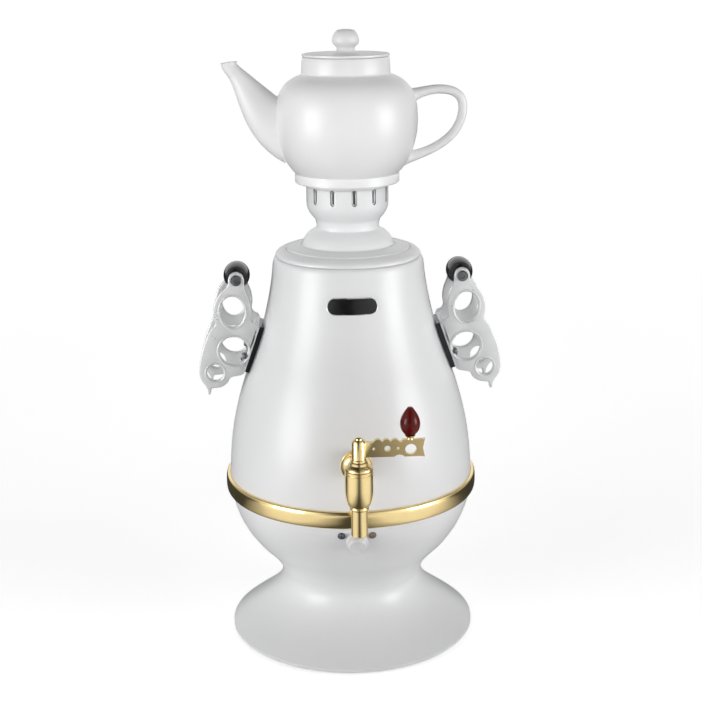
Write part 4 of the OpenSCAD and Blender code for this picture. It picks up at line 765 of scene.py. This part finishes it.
# %% Handle brackets
arm_outline = smooth_loop([
    (20.1, 60), (18.4, 64.3), (13.7, 66.4), (9, 64.3), (7.3, 60), (7.3, 55.5), (5.9, 49.5),
    (3.2, 42), (2.1, 34), (2.9, 27.5), (0.8, 24), (-2.4, 22.5), (-2.2, 18), (-1.0, 14), (0.2, 9),
    (3.6, 1.5), (6.4, -6), (9.2, -14), (10.8, -18.6), (15.5, -19.7), (20.4, -21), (23.2, -25.2),
    (27.8, -28.5), (33, -29.5), (35.9, -29.9), (36.9, -32.3), (37.2, -34.3), (38.5, -34.9),
    (39.5, -33.6), (39.7, -31), (41.2, -27.4), (44.4, -22.8), (45.9, -16.5), (45.5, -10),
    (44.2, -3), (42.2, 4.5), (39.2, 12), (37.1, 17), (34.2, 21.2), (31.8, 24.2), (32.7, 29.5),
    (32.8, 35), (31.2, 42.4), (27.2, 48.8), (22.4, 53.6), (20.3, 57)])
holes = (((17.5, 34), 9.8, 12.6), ((17.5, 1.5), 11.6, 11.6), ((33, -16.5), 6.8, 6.8))
loops = [ring_of(centre, rx, ry, 48 if rx < 9 else 72) for centre, rx, ry in holes]
pin_hole = ring_of((13.7, 60), 3.05, 3.05, 32)
lean = math.radians(19.387)
seat_x, seat_z, arm_thick = 77.165, 250, 5


def raised_rim(name, centre, rx, ry, y, thin, side):
    """A wire laid round a loop: an ellipse in the plane of the arm, swept by a small circle."""
    a = np.linspace(0, 2 * np.pi, 72, endpoint=False)
    x, z = seat_x + centre[0] + rx * np.cos(a), seat_z + centre[1] + ry * np.sin(a)
    spine = np.stack([side * x, y + 0 * a, z], axis=1)
    return swept(name, spine, thin, thin, sides=10, closed=True)


for side, node in ((-1, "left_handle_bracket"), (1, "right_handle_bracket")):
    parts = []
    for y in (-19, 19):
        across = ((side, 0, 0), (0, 0, 1), (0, 1, 0), (side * seat_x, y, seat_z))
        parts.append(slab("arm", [arm_outline] + loops + [pin_hole], arm_thick, 0.9, across))
        face = y + math.copysign(arm_thick / 2, y)
        for centre, rx, ry in holes:
            parts.append(raised_rim("rim", centre, rx + 1.3, ry + 1.3, face, 0.75, side))
    out = np.array((side * math.cos(lean), 0, math.sin(lean)))
    up = np.array((-side * math.sin(lean), 0, math.cos(lean)))
    plate_outline = eased(np.array(((21.5, -21), (21.5, 21), (-21.5, 21), (-21.5, -21))), 3, 5)
    where_plate = np.array((side * seat_x, 0, seat_z)) + 4.5 * out
    parts.append(slab("plate", [plate_outline], 3, 0.7, ((0, 1, 0), up, out, where_plate)))
    bracket = joined(node.replace("_bracket", "_casting"), *parts)
    dress(bracket, node, "root")
    studs = []
    for y in (-19, 19):
        dome = path((0, -3.1), (1.7, -2.9), (2.4, -2.3), (2.4, 2.3), (1.7, 2.9), (0, 3.1))
        grid = placed(turned_grid(dome, 32), (side * (seat_x + 8.2), y, seat_z - 3), (0, 1, 0))
        studs.append(mesh_piece("stud", grid, sharp=60))
    stud = joined(node.replace("_handle_bracket", "_studs"), *studs)
    stud.data.materials.clear()
    stud.data.materials.append(finishes["cap_metal"])
    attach(stud, "root")
    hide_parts(node)

# %% [markdown]
# ## Badge
#
# The badge is a bare black pill that follows the vessel. A pill is every point within r of a line.
# So its grid goes out from the line to the rim, and each point is then laid on the vessel. Along
# the rim the angle and the place on the line take turns: one moves while the other stands still.

# %% Badge
def on_vessel(x, z, off):
    """The point at arc length x from the front and height z, moved out from the wall by off.

    The arc is measured on a radius of 66.4, which the wall has at the badge.
    """
    radius = np.interp(z, vessel_wall[:, 1], vessel_wall[:, 0]) + off
    turn_by = x / 66.4
    return np.stack([radius * np.sin(turn_by), -radius * np.cos(turn_by), z + 0 * x], axis=-1)


def pill(half, r, out, steps=96):
    """Points at distance out * r from the nearest point of the line from -half to half."""
    quarter = np.pi * r / 2
    legs = np.cumsum([0, quarter, 2 * half, 2 * quarter, 2 * half, quarter])
    run = np.linspace(0, legs[-1], steps, endpoint=False)
    a = np.interp(run, legs, np.pi * np.array([0, 0.5, 0.5, 1.5, 1.5, 2]))
    middle = np.interp(run, legs, half * np.array([1, 1, -1, -1, 1, 1]))
    return middle + out * r * np.cos(a), out * r * np.sin(a)


def badge_ring(out, off):
    """One ring of the badge: a share of the way out to its rim, and its distance from the wall."""
    x, z = pill(14, 6.5, out)
    return on_vessel(x, 297 + z, off)


rows = [(0, 0.25), (1, 0.25), (1, 1.0), (0.97, 1.15), (0.9, 1.15), (0.88, 1.0), (0.6, 1.02),
        (0.3, 1.04), (0, 1.04)]
badge = mesh_piece("bare_badge", np.stack([badge_ring(*row) for row in rows]), sharp=30)
dress(badge, "badge", "root")
badge_rim = swept("badge_rim", badge_ring(0.96, 0.95), 0.34, 0.34, sides=8, closed=True)
badge_rim.data.materials.append(finishes["steel_hardware"])
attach(badge_rim, "root")
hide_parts("badge")

# %% [markdown]
# ## Crown and lever
#
# The crown and the lever have shapes that a grid would only make harder, and their solids are
# right already. But a polished part never has a knife edge. So each gets a copy of its solid with
# the doubles merged and a narrow bevel that catches a thread of light along every edge.

# %% Softened castings
def softened(name, node, body, width):
    """A copy of a solid, its triangles merged and its edges rounded to that width in millimetres."""
    mesh = frame["nodes"][node].data.copy()
    mesh.name = name
    work = bmesh.new()
    work.from_mesh(mesh)
    bmesh.ops.remove_doubles(work, verts=work.verts, dist=2e-6)
    bmesh.ops.dissolve_limit(work, angle_limit=math.radians(1), verts=work.verts, edges=work.edges)
    work.to_mesh(mesh)
    work.free()
    piece = bpy.data.objects.new(name, mesh)
    bpy.context.scene.collection.objects.link(piece)
    bevel = piece.modifiers.new("edges", "BEVEL")
    bevel.width = width / 1000
    bevel.segments = 2
    bevel.limit_method = "ANGLE"
    bevel.angle_limit = math.radians(32)
    mesh.shade_smooth()
    mesh.set_sharp_from_angle(angle=math.radians(50))
    return dress(piece, node, body)


softened("crown_casting", "crown", "lid", 0.4)
softened("lever_casting", "tap_lever", "tap_handle", 0.5)
